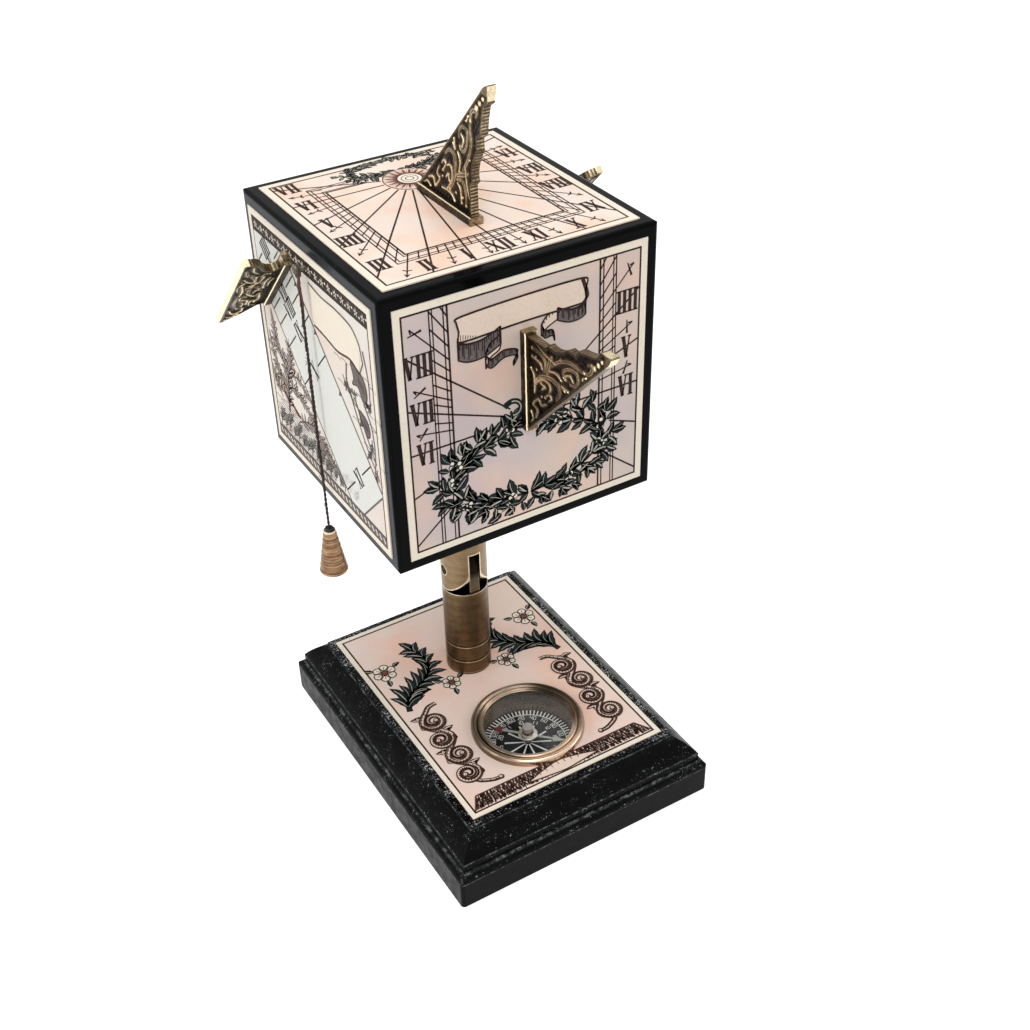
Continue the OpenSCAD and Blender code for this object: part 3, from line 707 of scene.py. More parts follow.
@dataclass(frozen=True)
class CompassGlass(Finish):
    """Clear flat glass with a trace of dust."""

    clear: Colour = (0.985, 0.99, 0.985)
    dusty: Colour = (0.9, 0.9, 0.88)

    def draw(self, g: Graph) -> None:
        """Draws the glass and its dust."""
        dust = g.noise(1.2, 6, 0.7).span(0.66, 0.8, 0.0, 0.3)
        g.put(Base_Color=g.mix(self.clear, self.dusty, dust), Transmission_Weight=1.0, IOR=1.25,
              Roughness=0.0)


@dataclass(frozen=True)
class Enamel(Finish):
    """Plain paint, plastic, felt or thread, with a fine tooth."""

    colour: Colour
    other: Colour
    rough: float = 0.4
    tooth: float = 0.02
    grain: float = 0.5

    def draw(self, g: Graph) -> None:
        """Draws the two tones and the tooth."""
        fine = g.noise(self.grain, 5, 0.7)
        g.put(Base_Color=g.mix(self.colour, self.other, fine.span(0.4, 0.68)),
              Roughness=self.rough, Specular_IOR_Level=0.4)
        g.bump(fine, self.tooth, 0.6)


@dataclass(frozen=True)
class NeedlePaint(Finish):
    """Grey steel needle with one arrowhead painted red."""

    centre: Vec
    heading: Vec
    red_from: float
    steel: Colour = (0.5, 0.49, 0.46)
    fleck: Colour = (0.2, 0.2, 0.19)
    red: Colour = (0.16, 0.018, 0.02)

    def draw(self, g: Graph) -> None:
        """Draws the flecked steel and the red past the arrowhead's foot."""
        along, across = ((g.axis(axis) - place * MM) * way
                         for axis, place, way in zip("XY", self.centre, self.heading))
        share = (along + across).rise(self.red_from - 0.1, self.red_from + 0.1)
        steel = g.mix(self.steel, self.fleck, g.noise(0.7, 4).span(0.4, 0.7, 0, 0.25))
        g.put(Base_Color=g.mix(steel, self.red, share), Roughness=0.36,
              Metallic=share.span(0.2, 0.8, 0.8, 0.0))
        g.bump(g.noise(0.4, 3), 0.01, 0.4)


# Camera and studio


@dataclass
class Studio:
    """The camera, the pale floor and the soft light round the sundial."""

    position: Vec = (-213.767, -387.375, 435.956)
    right: Vec = (0.8539, -0.52, -0.0226)
    back: Vec = (-0.4104, -0.6994, 0.5851)
    lens: float = 49.72
    sensor: float = 36
    floor_half: float = 2500
    floor_glow: float = 0.72
    white: Colour = (1.0, 1.0, 1.0)
    world_light: float = 0.4
    aim: Vec = (0, 0, 130)
    lamps: tuple[tuple[str, Vec, float, float], ...] = (
        ("key_lamp", (-420, -700, 900), 700, 4.6), ("top_lamp", (80, 60, 1100), 800, 3.4),
        ("side_lamp", (800, -250, 500), 500, 1.6), ("left_lamp", (-850, 120, 420), 500, 2.3))

    def place_camera(self) -> None:
        """Sets the camera where the photograph was taken from."""
        back = Vector(self.back).normalized()
        right = Vector(self.right)
        right = (right - back * right.dot(back)).normalized()
        up = back.cross(right)
        data = bpy.data.cameras.new("photo_camera")
        data.lens, data.sensor_width, data.sensor_fit = self.lens, self.sensor, "HORIZONTAL"
        data.clip_start, data.clip_end = 0.01, 20
        camera = bpy.data.objects.new("photo_camera", data)
        turn = Matrix((right, up, back)).transposed().to_4x4()
        camera.matrix_world = Matrix.Translation(Vector(self.position) * MM) @ turn
        bpy.context.scene.collection.objects.link(camera)
        bpy.context.scene.camera = camera

    def seen(self, tree: bpy.types.NodeTree) -> Socket:
        """A value that is 1 for rays that come from the camera, a mirror or glass."""
        path = tree.nodes.new("ShaderNodeLightPath")
        total = path.outputs["Is Camera Ray"]
        for name in ("Is Glossy Ray", "Is Transmission Ray"):
            larger = tree.nodes.new("ShaderNodeMath")
            larger.operation = "MAXIMUM"
            tree.links.new(total, larger.inputs[0])
            tree.links.new(path.outputs[name], larger.inputs[1])
            total = larger.outputs[0]
        return total

    def lay_floor(self) -> None:
        """Lays the floor, which shows nearly white and keeps a faint shadow."""
        graph = Graph("pale_floor")
        graph.put(Base_Color=(0.8, 0.8, 0.8), Roughness=0.9, Specular_IOR_Level=0.1,
                  Emission_Color=self.white,
                  Emission_Strength=Field(graph, self.seen(graph.tree)) * self.floor_glow)
        h = self.floor_half * MM
        mesh = bpy.data.meshes.new("studio_floor")
        mesh.from_pydata([(-h, -h, 0), (h, -h, 0), (h, h, 0), (-h, h, 0)], [], [(0, 1, 2, 3)])
        mesh.materials.append(graph.material)
        floor = bpy.data.objects.new("studio_floor", mesh)
        bpy.context.scene.collection.objects.link(floor)

    def light(self) -> None:
        """Hangs the soft lamps and sets the world's white."""
        world = bpy.data.worlds.new("white_room")
        world.use_nodes = True
        tree = world.node_tree
        back = tree.nodes["Background"]
        back.inputs["Color"].default_value = (*self.white, 1.0)
        strength = tree.nodes.new("ShaderNodeMapRange")
        tree.links.new(self.seen(tree), strength.inputs[0])
        strength.inputs[3].default_value = self.world_light
        strength.inputs[4].default_value = 1.0
        tree.links.new(strength.outputs[0], back.inputs["Strength"])
        bpy.context.scene.world = world
        for name, place, size, power in self.lamps:
            data = bpy.data.lights.new(name, "AREA")
            data.size, data.energy = size * MM, power
            lamp = bpy.data.objects.new(name, data)
            lamp.location = Vector(place) * MM
            facing = Vector(self.aim) - Vector(place)
            lamp.rotation_euler = facing.to_track_quat("-Z", "Y").to_euler()
            bpy.context.scene.collection.objects.link(lamp)
        bpy.context.scene.view_settings.view_transform = "Standard"


# The plumb line


@dataclass
class PlumbLine:
    """Twisted cord that hangs from its peg, with its knot and its loose ends."""

    ring_every: float = 0.45
    sides: int = 16
    twist_length: float = 4.2
    ply_r: float = 0.36
    ply_off: float = 0.18
    fibres: int = 330
    tail_steps: int = 14
    knot_radius: float = 1.36
    thread: Enamel = Enamel("cord_thread", (0.014, 0.008, 0.007), (0.05, 0.026, 0.02), 0.75,
                            0.05, 0.3)
    tail_thread: Enamel = Enamel("tail_thread", (0.06, 0.02, 0.012), (0.16, 0.07, 0.04), 0.75,
                                 0.05, 0.3)
    waxed: Enamel = Enamel("waxed_knot", (0.03, 0.028, 0.018), (0.1, 0.095, 0.07), 0.6, 0.06, 0.4)

    def ply_reach(self, angle: float) -> float:
        """How far the outside of two plies lies from the cord's middle at an angle."""
        across = self.ply_off * math.sin(angle)
        return self.ply_off * abs(math.cos(angle)) + math.sqrt(self.ply_r ** 2 - across ** 2)

    def make_cord(self) -> Piece:
        """The twisted cord, straight down from the knot to the plug in the bob."""
        length = SIZES.cord_top - SIZES.cord_foot
        count = round(length / self.ring_every)
        rings = []
        for i in range(count + 1):
            z = SIZES.cord_top - length * i / count
            turn = 2 * math.pi * length * i / count / self.twist_length
            for j in range(self.sides):
                angle = 2 * math.pi * j / self.sides
                reach = self.ply_reach(angle - turn)
                rings.append((SIZES.hook_x + reach * math.cos(angle),
                              SIZES.post_y + reach * math.sin(angle), z))
        solid = Solid()
        solid.add(rings, rings_to_faces(count + 1, self.sides))
        return solid.build("plumb_cord_twist", "line", [self.thread.make()], "cord", 60)

    def make_fibres(self, rng: random.Random) -> Piece:
        """Fine fibres on the cord's sides away from the dial, and the knot's two loose ends."""
        solid = Solid()
        for i in range(self.fibres):
            z = (rng.uniform(SIZES.cord_foot + 8, SIZES.cord_top - 3) if i % 3 == 0
                 else rng.triangular(SIZES.cord_foot + 20, SIZES.cord_top - 14))
            angle = rng.uniform(0.45 * math.pi, 1.55 * math.pi)
            reach = rng.uniform(0.3, 0.6) if i % 8 else rng.uniform(0.7, 1.5)
            out = as_array((math.cos(angle), math.sin(angle), 0))
            start = as_array((SIZES.hook_x, SIZES.post_y, z)) + 0.35 * out
            end = start + out * reach + as_array((0, 0, rng.uniform(-3.6, 1.0)))
            middle = (start + end) / 2 + as_array((0, 0, rng.uniform(-0.5, 0.5)))
            solid.tube([start, middle, end], [0.12, 0.09, 0.03], 5, 0 if i % 7 else 1)
        for side, drop, lean in ((-1, 15, 0.9), (1, 12.5, 1.1)):
            line, widths = [], []
            for i in range(self.tail_steps + 1):
                t = i / self.tail_steps
                sway = side * lean * math.sin(math.pi * min(1, t * 1.1)) + 0.15 * math.sin(9 * t)
                line.append((SIZES.hook_x - 0.25 * math.sin(5 * t), SIZES.post_y - 0.4 + sway,
                             SIZES.cord_top + 0.6 - drop * t))
                widths.append(0.34 - 0.12 * i / self.tail_steps)
            solid.tube(line, widths, 8, 1)
        return solid.build("cord_fibres", "line", [self.thread.make(), self.tail_thread.make()],
                           "cord", 60)

    def make_knot(self) -> Piece:
        """Two turns of cord round the peg, bound by a knot."""
        solid, radius = Solid(), self.knot_radius
        x, y, z = SIZES.hook_x, SIZES.post_y, SIZES.hook_z
        for shift, lean in ((-0.34, 0.12), (0.34, -0.1)):
            turn = [(x + shift + lean * math.sin(a), y + radius * math.sin(a),
                     z + radius * math.cos(a)) for a in full_turn(40)]
            solid.tube(turn, 0.42, 12)
        for level, width in ((1.62, 0.62), (2.1, 0.74), (2.62, 0.6)):
            wrap = [(x + width * math.cos(a), y + width * math.sin(a),
                     z - level + 0.14 * math.sin(a + level)) for a in full_turn(32)]
            solid.tube(wrap, 0.34, 10)
        core = [(x, y, z - down) for down in (1.3, 2.0, 2.7, 3.16)]
        solid.tube(core, [0.4, 0.7, 0.6, 0.45], 14)
        return solid.build("cord_knot", "line_top", [self.waxed.make()], "cord", 60)

    def build(self, rng: random.Random) -> None:
        """Makes the line's pieces in place of the imported cord and loop."""
        cord = self.make_cord()
        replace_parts(cord, "plumb_cord")
        knot = self.make_knot()
        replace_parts(knot, "cord_loop")
        fibres = self.make_fibres(rng)


# The cast gnomons


@dataclass(frozen=True)
class Stroke:
    """One raised scroll: the points that it passes through and its half width there."""

    points: tuple[Point, ...]
    start: float = 0.35
    middle: float = 0.75
    end: float = 0.4
    knob: float = 0.0

    def line(self) -> tuple[np.ndarray, np.ndarray]:
        """Its smoothed points and the half width at each."""
        path = np.array(smooth_line(self.points, 7))
        t = np.linspace(0, 1, len(path))
        width = np.interp(t, [0, 0.45, 1], [self.start, self.middle, self.end])
        return path, width


def nearest(points: np.ndarray, line: np.ndarray) -> tuple[np.ndarray, np.ndarray]:
    """Distance from each point to a line, and where along it the nearest place is.

    Args:
        points: the points to measure from.
        line: the line's points.

    Returns:
        The distances, and places along the line counted in its points.
    """
    best = np.full(len(points), 1e9)
    place = np.zeros(len(points))
    for i in range(len(line) - 1):
        step = line[i + 1] - line[i]
        if abs(step) < 1e-9:
            continue
        t = np.clip(((points - line[i]) * np.conj(step)).real / abs(step) ** 2, 0, 1)
        gap = np.abs(points - line[i] - t * step)
        closer = gap < best
        best[closer] = gap[closer]
        place[closer] = (i + t)[closer]
    return best, place


@dataclass
class Casting:
    """A gnomon cast with raised scrollwork on both sides of its plate."""

    outline: list[Point]
    strokes: list[Stroke]
    beads: list[tuple[Point, float]]
    ribbed: tuple[float, float]
    plain_above: float
    swell: float = 1.25
    wall_tone: Sequence[tuple[Point, Point, float]] = ()
    spacing: float = 0.3
    row_step: float = 0.87
    rib_every: float = 1.2
    ground: float = 0.85
    relief: float = 1.6
    foot_l: float = 37.8
    foot_half: float = 2.5
    foot_t: float = 3.0
    verts: list[Vec] = field(default_factory=list)
    faces: list[Sequence[int]] = field(default_factory=list)
    tone: list[float] = field(default_factory=list)
    walls: dict[int, float] = field(default_factory=dict)

    def rib(self, run: float) -> float:
        """How far the fine ribs stand out at a distance along them, from 0 to 1."""
        return 0.5 - 0.5 * math.cos(2 * math.pi * run / self.rib_every)

    def boundary(self) -> list[Point]:
        """The outline at even steps, with fine ribs along the stretch that has them."""
        edge = self.outline + [self.outline[0]]
        gone = 0.0
        points = []
        for a, b in zip(edge, edge[1:]):
            count = max(1, round(abs(b - a) / self.spacing))
            heading = (b - a) / abs(b - a)
            for i in range(count):
                place = a + (b - a) * i / count
                run = gone + abs(b - a) * i / count
                if self.ribbed[0] < run < self.ribbed[1]:
                    place += 1j * heading * 0.15 * self.rib(run)
                points.append(place)
            gone += abs(b - a)
        return points

    def heights(self, points: np.ndarray, rng: np.random.Generator
                ) -> tuple[np.ndarray, np.ndarray]:
        """How far the surface stands out at each point, from 0 to 1, and its tone, which holds wear
        and painted highlights.

        Args:
            points: the points of the plate.
            rng: the source of the unevenness.

        Returns:
            The heights and the tones.
        """
        edge = np.array(self.outline + [self.outline[0]])
        off, _ = nearest(points, edge)
        rise = np.sqrt(np.clip(1 - ((off - 0.5) / 0.85) ** 2, 0, 1)) * 0.85
        # Painted highlights with wear: the outline's rim and the crests get light tones.
        tone = rise * 0.42 + 0.5 * np.clip(1 - off / 0.3, 0, 1)
        ground = 0.16 + 0.1 * np.sin(points.real * 3.1 + 1.7 * np.sin(points.imag * 2.3))
        rise, tone = np.maximum(rise, ground), np.maximum(tone, ground * 0.8)
        for stroke in self.strokes:
            line, width = stroke.line()
            gap, place = nearest(points, line)
            reach = np.interp(place, np.arange(len(line)), width) * self.swell
            crest = np.sqrt(np.clip(1 - (gap / reach) ** 2, 0, 1))
            if stroke.middle > 0.8:
                crest = crest - 0.3 * np.exp(-(gap / (0.22 * reach)) ** 2) * (crest > 0)
            flank = 0.5 * np.clip(1 - (gap / (reach + 1.1)) ** 2, 0, 1)
            rise = np.maximum(rise, np.maximum(crest, flank))
            tone = np.maximum(tone, np.maximum(crest ** 2.2, flank * 0.7))
            if stroke.knob:
                ball = np.clip(1 - (np.abs(points - line[-1]) / stroke.knob) ** 2, 0, 1)
                rise = np.maximum(rise, np.sqrt(ball) * 1.05)
                tone = np.maximum(tone, np.sqrt(ball) * 1.1)
        for centre, radius in self.beads:
            ball = np.sqrt(np.clip(1 - (np.abs(points - centre) / radius) ** 2, 0, 1))
            rise = np.maximum(rise, ball * radius / 1.25)
            tone = np.maximum(tone, ball * 1.15)
        plain = np.clip((points.imag - self.plain_above) / 1.2, 0, 1) * 0.95
        rise, tone = np.maximum(rise, plain), np.maximum(tone, plain * 0.62)
        return rise + rng.normal(0, 0.025, len(points)), tone

    def fill(self, rng: np.random.Generator) -> None:
        """Meshes both sides of the plate and the wall between them.

        Args:
            rng: the source of the unevenness.
        """
        edge = self.boundary()
        shape = np.array(edge)
        low = shape.real.min() + 1j * shape.imag.min()
        high = shape.real.max() + 1j * shape.imag.max()
        inner = []
        rows = int((high - low).imag / (self.spacing * self.row_step))
        for row in range(1, rows):
            w = low.imag + row * self.spacing * self.row_step
            start = low.real + (row % 2) * self.spacing / 2
            inner += [u + 1j * w for u in np.arange(start, high.real, self.spacing)]
        inner = np.array(inner)
        off, _ = nearest(inner, np.append(shape, shape[0]))
        inner = inner[(off > self.spacing * 0.6) & inside(inner, shape)]
        points = [Vector((p.real, p.imag)) for p in list(edge) + list(inner)]
        border = [(i, (i + 1) % len(edge)) for i in range(len(edge))]
        verts, _, faces = delaunay_2d_cdt(points, border, [], 1, 1e-6)[:3]
        place = np.array([Point(v.x, v.y) for v in verts])
        height, tone = self.heights(place, rng)
        deep = self.ground + (self.relief - self.ground) * height
        count = len(place)
        self.verts = [(p.real, p.imag, d) for p, d in zip(place, deep)]
        self.verts += [(p.real, p.imag, -d) for p, d in zip(place, deep)]
        self.tone = [float(h) for h in tone] * 2
        self.faces = [tuple(f) for f in faces] + [tuple(count + i for i in reversed(f))
                                                  for f in faces]
        used: dict[tuple[int, int], int] = {}
        for f in faces:
            for a, b in zip(f, list(f[1:]) + [f[0]]):
                used[(a, b)] = used.get((a, b), 0) + 1
        for a, b in used:
            if (b, a) not in used:
                self.walls[len(self.faces)] = self.wall_shade((place[a] + place[b]) / 2)
                self.faces.append((b, a, count + a, count + b))

    def wall_shade(self, p: Point) -> float:
        """The tone of the plate's narrow side at a place on its outline: painted highlights on the
        listed walls, lighter rib crests elsewhere.
        """
        for a, b, shade in self.wall_tone:
            off, _ = nearest(np.array([p]), np.array([a, b]))
            if off[0] < 0.6:
                return shade
        return 0.34 + 0.4 * self.rib(p.imag)

    def add_foot(self) -> None:
        """Adds the foot, a bar with painted highlights and wear on its edges, and the two pegs
        under it.
        """
        w, t = self.foot_half, self.foot_t
        # The second value of each pair is its tone: painted highlights with wear along the top
        # edges.
        half = [(0, 0.22), (t - 0.42, 0.34), (t - 0.24, 1.1), (t - 0.06, 1.1), (t, 0.42)]
        inset = (0, 0, 0.06, 0.22, 0.55)
        left = [(-w + x, up, rub) for x, (up, rub) in zip(inset, half)]
        section = left + [(-x, up, rub) for x, up, rub in reversed(left)]
        steps = 36
        start = len(self.verts)
        for i in range(steps + 1):
            u = self.foot_l * i / steps
            wave = 0.05 * math.sin(2.3 * u) + 0.03 * math.sin(5.1 * u)
            for across, up, rubbed in section:
                self.verts.append((u, up + (wave * 0.4 if 0 < up else 0),
                                   across + math.copysign(min(0, wave), across)))
                self.tone.append(rubbed if 0 < i < steps else 0.7)
        count = len(section)
        for face in rings_to_faces(steps + 1, count):
            self.faces.append(tuple(start + i for i in reversed(face)))
        for u in (8, self.foot_l - 8):
            pin = Solid()
            pin.tube([(u, 0.4, 0), (u, -5.4, 0)], 1.0, 20)
            base = len(self.verts)
            self.verts += [tuple(v) for v in pin.verts]
            self.tone += [0.4] * len(pin.verts)
            self.faces += [tuple(base + i for i in f) for f in pin.faces]

    def place_at(self, name: str, node: str, origin: Vec, along: Vec, out: Vec,
                 finish: Material) -> Piece:
        """Makes one gnomon on its dial.

        Args:
            name: the piece's name.
            node: the solid that it stands for.
            origin: where the toe of its foot meets the dial, in millimetres.
            along: the foot's direction.
            out: the dial's outward direction.
            finish: the cast brass.

        Returns:
            The new object.
        """
        u, w = as_array(along), as_array(out)
        t = np.cross(u, w)
        table = np.array(self.verts)
        spots = (as_array(origin) + table[:, :1] * u + table[:, 1:2] * w + table[:, 2:] * t) * MM
        mesh = bpy.data.meshes.new(name)
        mesh.from_pydata([tuple(s) for s in spots], [], self.faces)
        shades = [self.walls.get(i, self.tone[v])
                  for i, face in enumerate(self.faces) for v in face]
        mesh.attributes.new("tone", "FLOAT", "CORNER").data.foreach_set("value", shades)
        mesh.materials.append(finish)
        mesh.shade_smooth()
        mesh.set_sharp_from_angle(angle=math.radians(52))
        piece = mounted(bpy.data.objects.new(name, mesh), "head")
        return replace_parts(piece, node)


def inside(points: np.ndarray, shape: np.ndarray) -> np.ndarray:
    """Which points lie inside a closed shape.

    Args:
        points: the points to test.
        shape: the shape's corners in order.

    Returns:
        True for each point that lies inside.
    """
    found = np.zeros(len(points), bool)
    for a, b in zip(shape, np.roll(shape, -1)):
        crosses = (a.imag > points.imag) != (b.imag > points.imag)
        if abs(b.imag - a.imag) < 1e-12:
            continue
        at = a.real + (points.imag - a.imag) * (b.real - a.real) / (b.imag - a.imag)
        found ^= crosses & (points.real < at)
    return found


def bent(p: Point, q: Point, r: Point, n: int = 6) -> list[Point]:
    """Points of a curve from p to r, drawn towards q."""
    return [(1 - t) ** 2 * p + 2 * t * (1 - t) * q + t * t * r for t in np.linspace(0, 1, n + 1)]


def triangular_casting() -> Casting:
    """The plate of the top, north and south gnomons."""
    outline = [0j, 36.8 + 0j, 37 + 13.7j, *bent(38.8 + 15.3j, 37 + 19.7j, 42.5 + 27j),
               42.4 + 31.2j, 45 + 33j, *bent(45.2 + 34.4j, 46 + 39.2j, 47.4 + 43.2j),
               50 + 45j, *bent(50.5 + 50.8j, 48.4 + 50.6j, 46 + 48j, 4), 2j]
    strokes = [
        Stroke((20.7+19.9j, 23.6+21.9j, 26.5+21.2j, 27.2+17.6j, 26.3+13.3j, 25+10.6j, 22.7+8j),
               0.5, 1.15, 0.5, 0.9),
        Stroke((21.5+15.8j, 23.5+16.6j, 24.9+14.7j, 24.2+11.4j, 21.1+7.7j), 0.4, 0.8, 0.4, 0.7),
        Stroke((17.8+15.4j, 19.6+17.1j, 20.5+15.8j, 18.3+13.2j), 0.3, 0.55, 0.35, 0.75),
        Stroke((20.3+11.4j, 22.2+12.9j, 22.5+10.9j), 0.4, 0.8, 0.5, 0.8),
        Stroke((7.6+7.2j, 10.9+8.2j, 12.1+5.6j), 0.4, 0.7, 0.4, 0.75),
        Stroke((15.8+13.6j, 14.2+10.8j, 15.7+9.2j, 13.2+6.3j), 0.4, 0.75, 0.4, 0.75),
        Stroke((30.6+28.3j, 31.2+31j, 33.5+32.7j, 35.9+32.1j, 36.3+29.8j, 35.6+27.1j, 33.9+24.7j,
                32.1+24j, 30.9+25.6j), 0.5, 0.85, 0.5),
        Stroke((32.1+30.1j, 33.6+28.1j, 32.5+25.7j), 0.35, 0.65, 0.4, 0.7),
        Stroke((42.2+38.3j, 43+39.8j, 41.4+40.4j, 39.4+38.9j, 38.6+36.2j), 0.5, 0.95, 0.7, 0.9),
        Stroke((38.6+36.2j, 38.2+33.3j, 38.5+29.6j, 37.8+26.1j, 35.6+21.6j, 32.3+17.6j),
               0.6, 0.9, 0.7),
        Stroke((29.3+23.1j, 30.7+20j, 29.8+16.6j), 0.4, 0.8, 0.5, 0.8),
        Stroke((28.2+14.6j, 32.1+16j, 35.2+17.1j), 0.8, 1.15, 0.7),
        Stroke((27.9+13j, 31.5+13.5j, 33.5+10.6j, 33.4+5.6j), 0.5, 0.9, 0.6, 0.85),
        Stroke((28.2+11.9j, 30.2+9.9j, 30.4+5.6j), 0.4, 0.75, 0.45, 0.75),
        Stroke((16.9+6.6j, 21+6.9j, 24+6.3j, 25.6+4.6j), 0.4, 0.7, 0.4, 0.7),
        Stroke((4.2+4.2j, 6.6+5.4j, 8.6+4.2j), 0.3, 0.5, 0.3, 0.5),
        Stroke((26.3+25.4j, 27.6+23.4j, 27.2+26.9j), 0.3, 0.6, 0.35, 0.6),
        Stroke((33.9+20.1j, 34.6+13.6j, 36+9j), 0.3, 0.55, 0.3),
        Stroke((35.3+35.2j, 36.4+35.6j, 37.2+37.2j), 0.3, 0.6, 0.3, 0.55),
    ]
    beads = [(42.7+41.5j, 1.25), (44.75+43.5j, 1.15), (46.7+45.4j, 1.0), (30.9+7.7j, 0.7),
             (17.2+10.6j, 0.6), (26.2+7.7j, 0.7), (36.9+22.6j, 0.6)]
    # Tones of single walls, painted lighter or darker by how each faces the lamps.
    walls = [(44.4 + 44.6j, 50 + 45j, 0.5), (50 + 45j, 50 + 50j, 0.85),
             (45.6 + 47.6j, 49 + 50.6j, 0.95), (0 + 2j, 46 + 48j, 0.62)]
    return Casting(outline, strokes, beads, (38, 74), 46.2, 1.3, walls)


def winged_casting() -> Casting:
    """The plate of the east and west gnomons."""
    outline = [0j, 37.8 + 0j, 37.8 + 3j, 35.6 + 3.2j, *bent(33.4+3.9j, 31+7j, 36.4+9.8j, 5),
               *bent(38.4+10.6j, 41.6+12.4j, 42.6+15.6j, 4), 43.4+16.2j, 43.4+18.2j,
               -9.9+18.2j, -5.94+11.28j, -0.3+5.2j]
    strokes = [
        Stroke((38.9+16.6j, 33.7+15.1j, 32.3+13.1j, 25.1+10.5j), 0.5, 1.1, 0.5, 0.9),
        Stroke((30.6+15.8j, 27+13.6j, 26.2+11.5j, 30.2+11.3j), 0.4, 0.7, 0.4, 0.8),
        Stroke((24.9+15.6j, 19.1+14.4j, 14.9+14.9j), 0.4, 0.8, 0.5),
        Stroke((15.2+15.3j, 13.6+11.6j, 19.2+11.8j, 21.1+10.1j, 17.7+7.9j), 0.5, 0.95, 0.5, 0.85),
        Stroke((16.5+12.5j, 12+9.3j, 12.5+6.5j), 0.4, 0.8, 0.5),
        Stroke((13+6.8j, 7.6+5.9j, 4.9+7.3j), 0.45, 0.8, 0.4, 0.8),
        Stroke((26.6+5.4j, 23.4+6.7j, 17.6+6.3j), 0.4, 0.8, 0.5, 0.7),
        Stroke((14+15.2j, 7.6+15.5j, 2.2+13.4j), 0.5, 0.9, 0.4, 0.8),
        Stroke((1.9+16.2j, -2.4+14.4j, -1.9+11.2j, 0.7+10.9j), 0.4, 0.7, 0.4, 0.75),
        Stroke((-4+16.7j, -5.3+14.4j, -3.8+12j), 0.35, 0.65, 0.4, 0.6),
        Stroke((22.6+12.7j, 24.4+9.4j, 28.6+8.2j), 0.4, 0.75, 0.4, 0.75),
        Stroke((4.4+10.6j, 8.2+10.4j, 9.6+12.6j), 0.4, 0.7, 0.4, 0.7),
        Stroke((9.4+13.4j, 12.4+14j, 12.2+11.6j), 0.25, 0.45, 0.3, 0.5),
        Stroke((20.4+16.6j, 24.4+17j, 27.6+15j), 0.25, 0.45, 0.3),
        Stroke((33+11j, 36.4+13.4j, 39.6+14j), 0.25, 0.5, 0.3, 0.5),
        Stroke((29.4+9.6j, 31.4+8.4j, 30.6+6.4j), 0.25, 0.5, 0.3, 0.6),
        Stroke((14.6+9.8j, 16.6+8.6j, 15.4+6.8j), 0.25, 0.45, 0.3, 0.5),
        Stroke((1.4+6.6j, 3+9j, 6.4+9j, 6.6+7.4j), 0.25, 0.45, 0.3, 0.5),
        Stroke((-7.6+16.8j, -6.2+13.6j, -4.4+10.4j), 0.3, 0.5, 0.3),
        Stroke((21.4+14j, 21.6+11.8j, 23.4+10.6j), 0.25, 0.4, 0.25),
        Stroke((18.4+4.8j, 22+4.9j, 24.6+4j), 0.25, 0.4, 0.3, 0.45),
        Stroke((8+13j, 6.2+11.8j, 3.4+12j), 0.25, 0.4, 0.25, 0.45),
    ]
    beads = [(22.2+7.9j, 0.6), (10+8.4j, 0.65), (30+6j, 0.7), (27.8+16.2j, 0.5), (1.6+8.4j, 0.6)]
    # Tones of single walls, painted lighter or darker by how each faces the lamps.
    walls = [(-9.9 + 18.2j, 43.4 + 18.2j, 1.0), (43.4 + 16j, 43.4 + 18j, 1.0),
             (35.6 + 3.4j, 34.6 + 7.6j, 0.72), (-9.9 + 18j, -0.3 + 5.2j, 0.4)]
    return Casting(outline, strokes, beads, (42, 58), 17.6, 1.1, walls)


@dataclass
class Gnomons:
    """The five cast gnomons in their places on the cube."""

    top_toe: float = 15
    side_toe: float = 9.4
    wing_back: float = 25.8
    wing_up: float = 28.6

    def build(self) -> None:
        """Casts the two patterns and sets them on the dials."""
        finish = CastBrass("cast_brass").make()
        y, mid = SIZES.post_y, SIZES.cube_mid
        out = SIZES.half + SIZES.dial_t
        rng = np.random.default_rng(11)
        blade = triangular_casting()
        blade.fill(rng)
        blade.add_foot()
        blade.place_at("scrolled_gnomon_top", "gnomon_top", (0, y + self.top_toe, mid + out),
                       (0, -1, 0), (0, 0, 1), finish)
        blade.place_at("scrolled_gnomon_north", "gnomon_north", (0, y - out, mid - self.side_toe),
                       (0, 0, 1), (0, -1, 0), finish)
        blade.place_at("scrolled_gnomon_south", "gnomon_south", (0, y + out, mid + self.side_toe),
                       (0, 0, -1), (0, 1, 0), finish)
        wing = winged_casting()
        wing.fill(rng)
        wing.add_foot()
        slant = math.sqrt(0.5)
        run = wing.foot_l / 2 * slant
        for side, name, node in ((-1, "winged_gnomon_east", "gnomon_east"),
                                 (1, "winged_gnomon_west", "gnomon_west")):
            origin = (side * out, y + self.wing_back + run, mid + self.wing_up - run)
            wing.place_at(name, node, origin, (0, -slant, slant), (side, 0, 0), finish)


# Prints


class Ink(Enum):
    """The inks and paints of the prints, numbered as their finishes are."""

    LINE = 0
    LEAF = 1
    PALE = 2
    RUST = 3
    SKY = 4
    GREY = 5
    IVORY = 6
    WHITE = 7
    CREAM = 8
    BROWN = 9


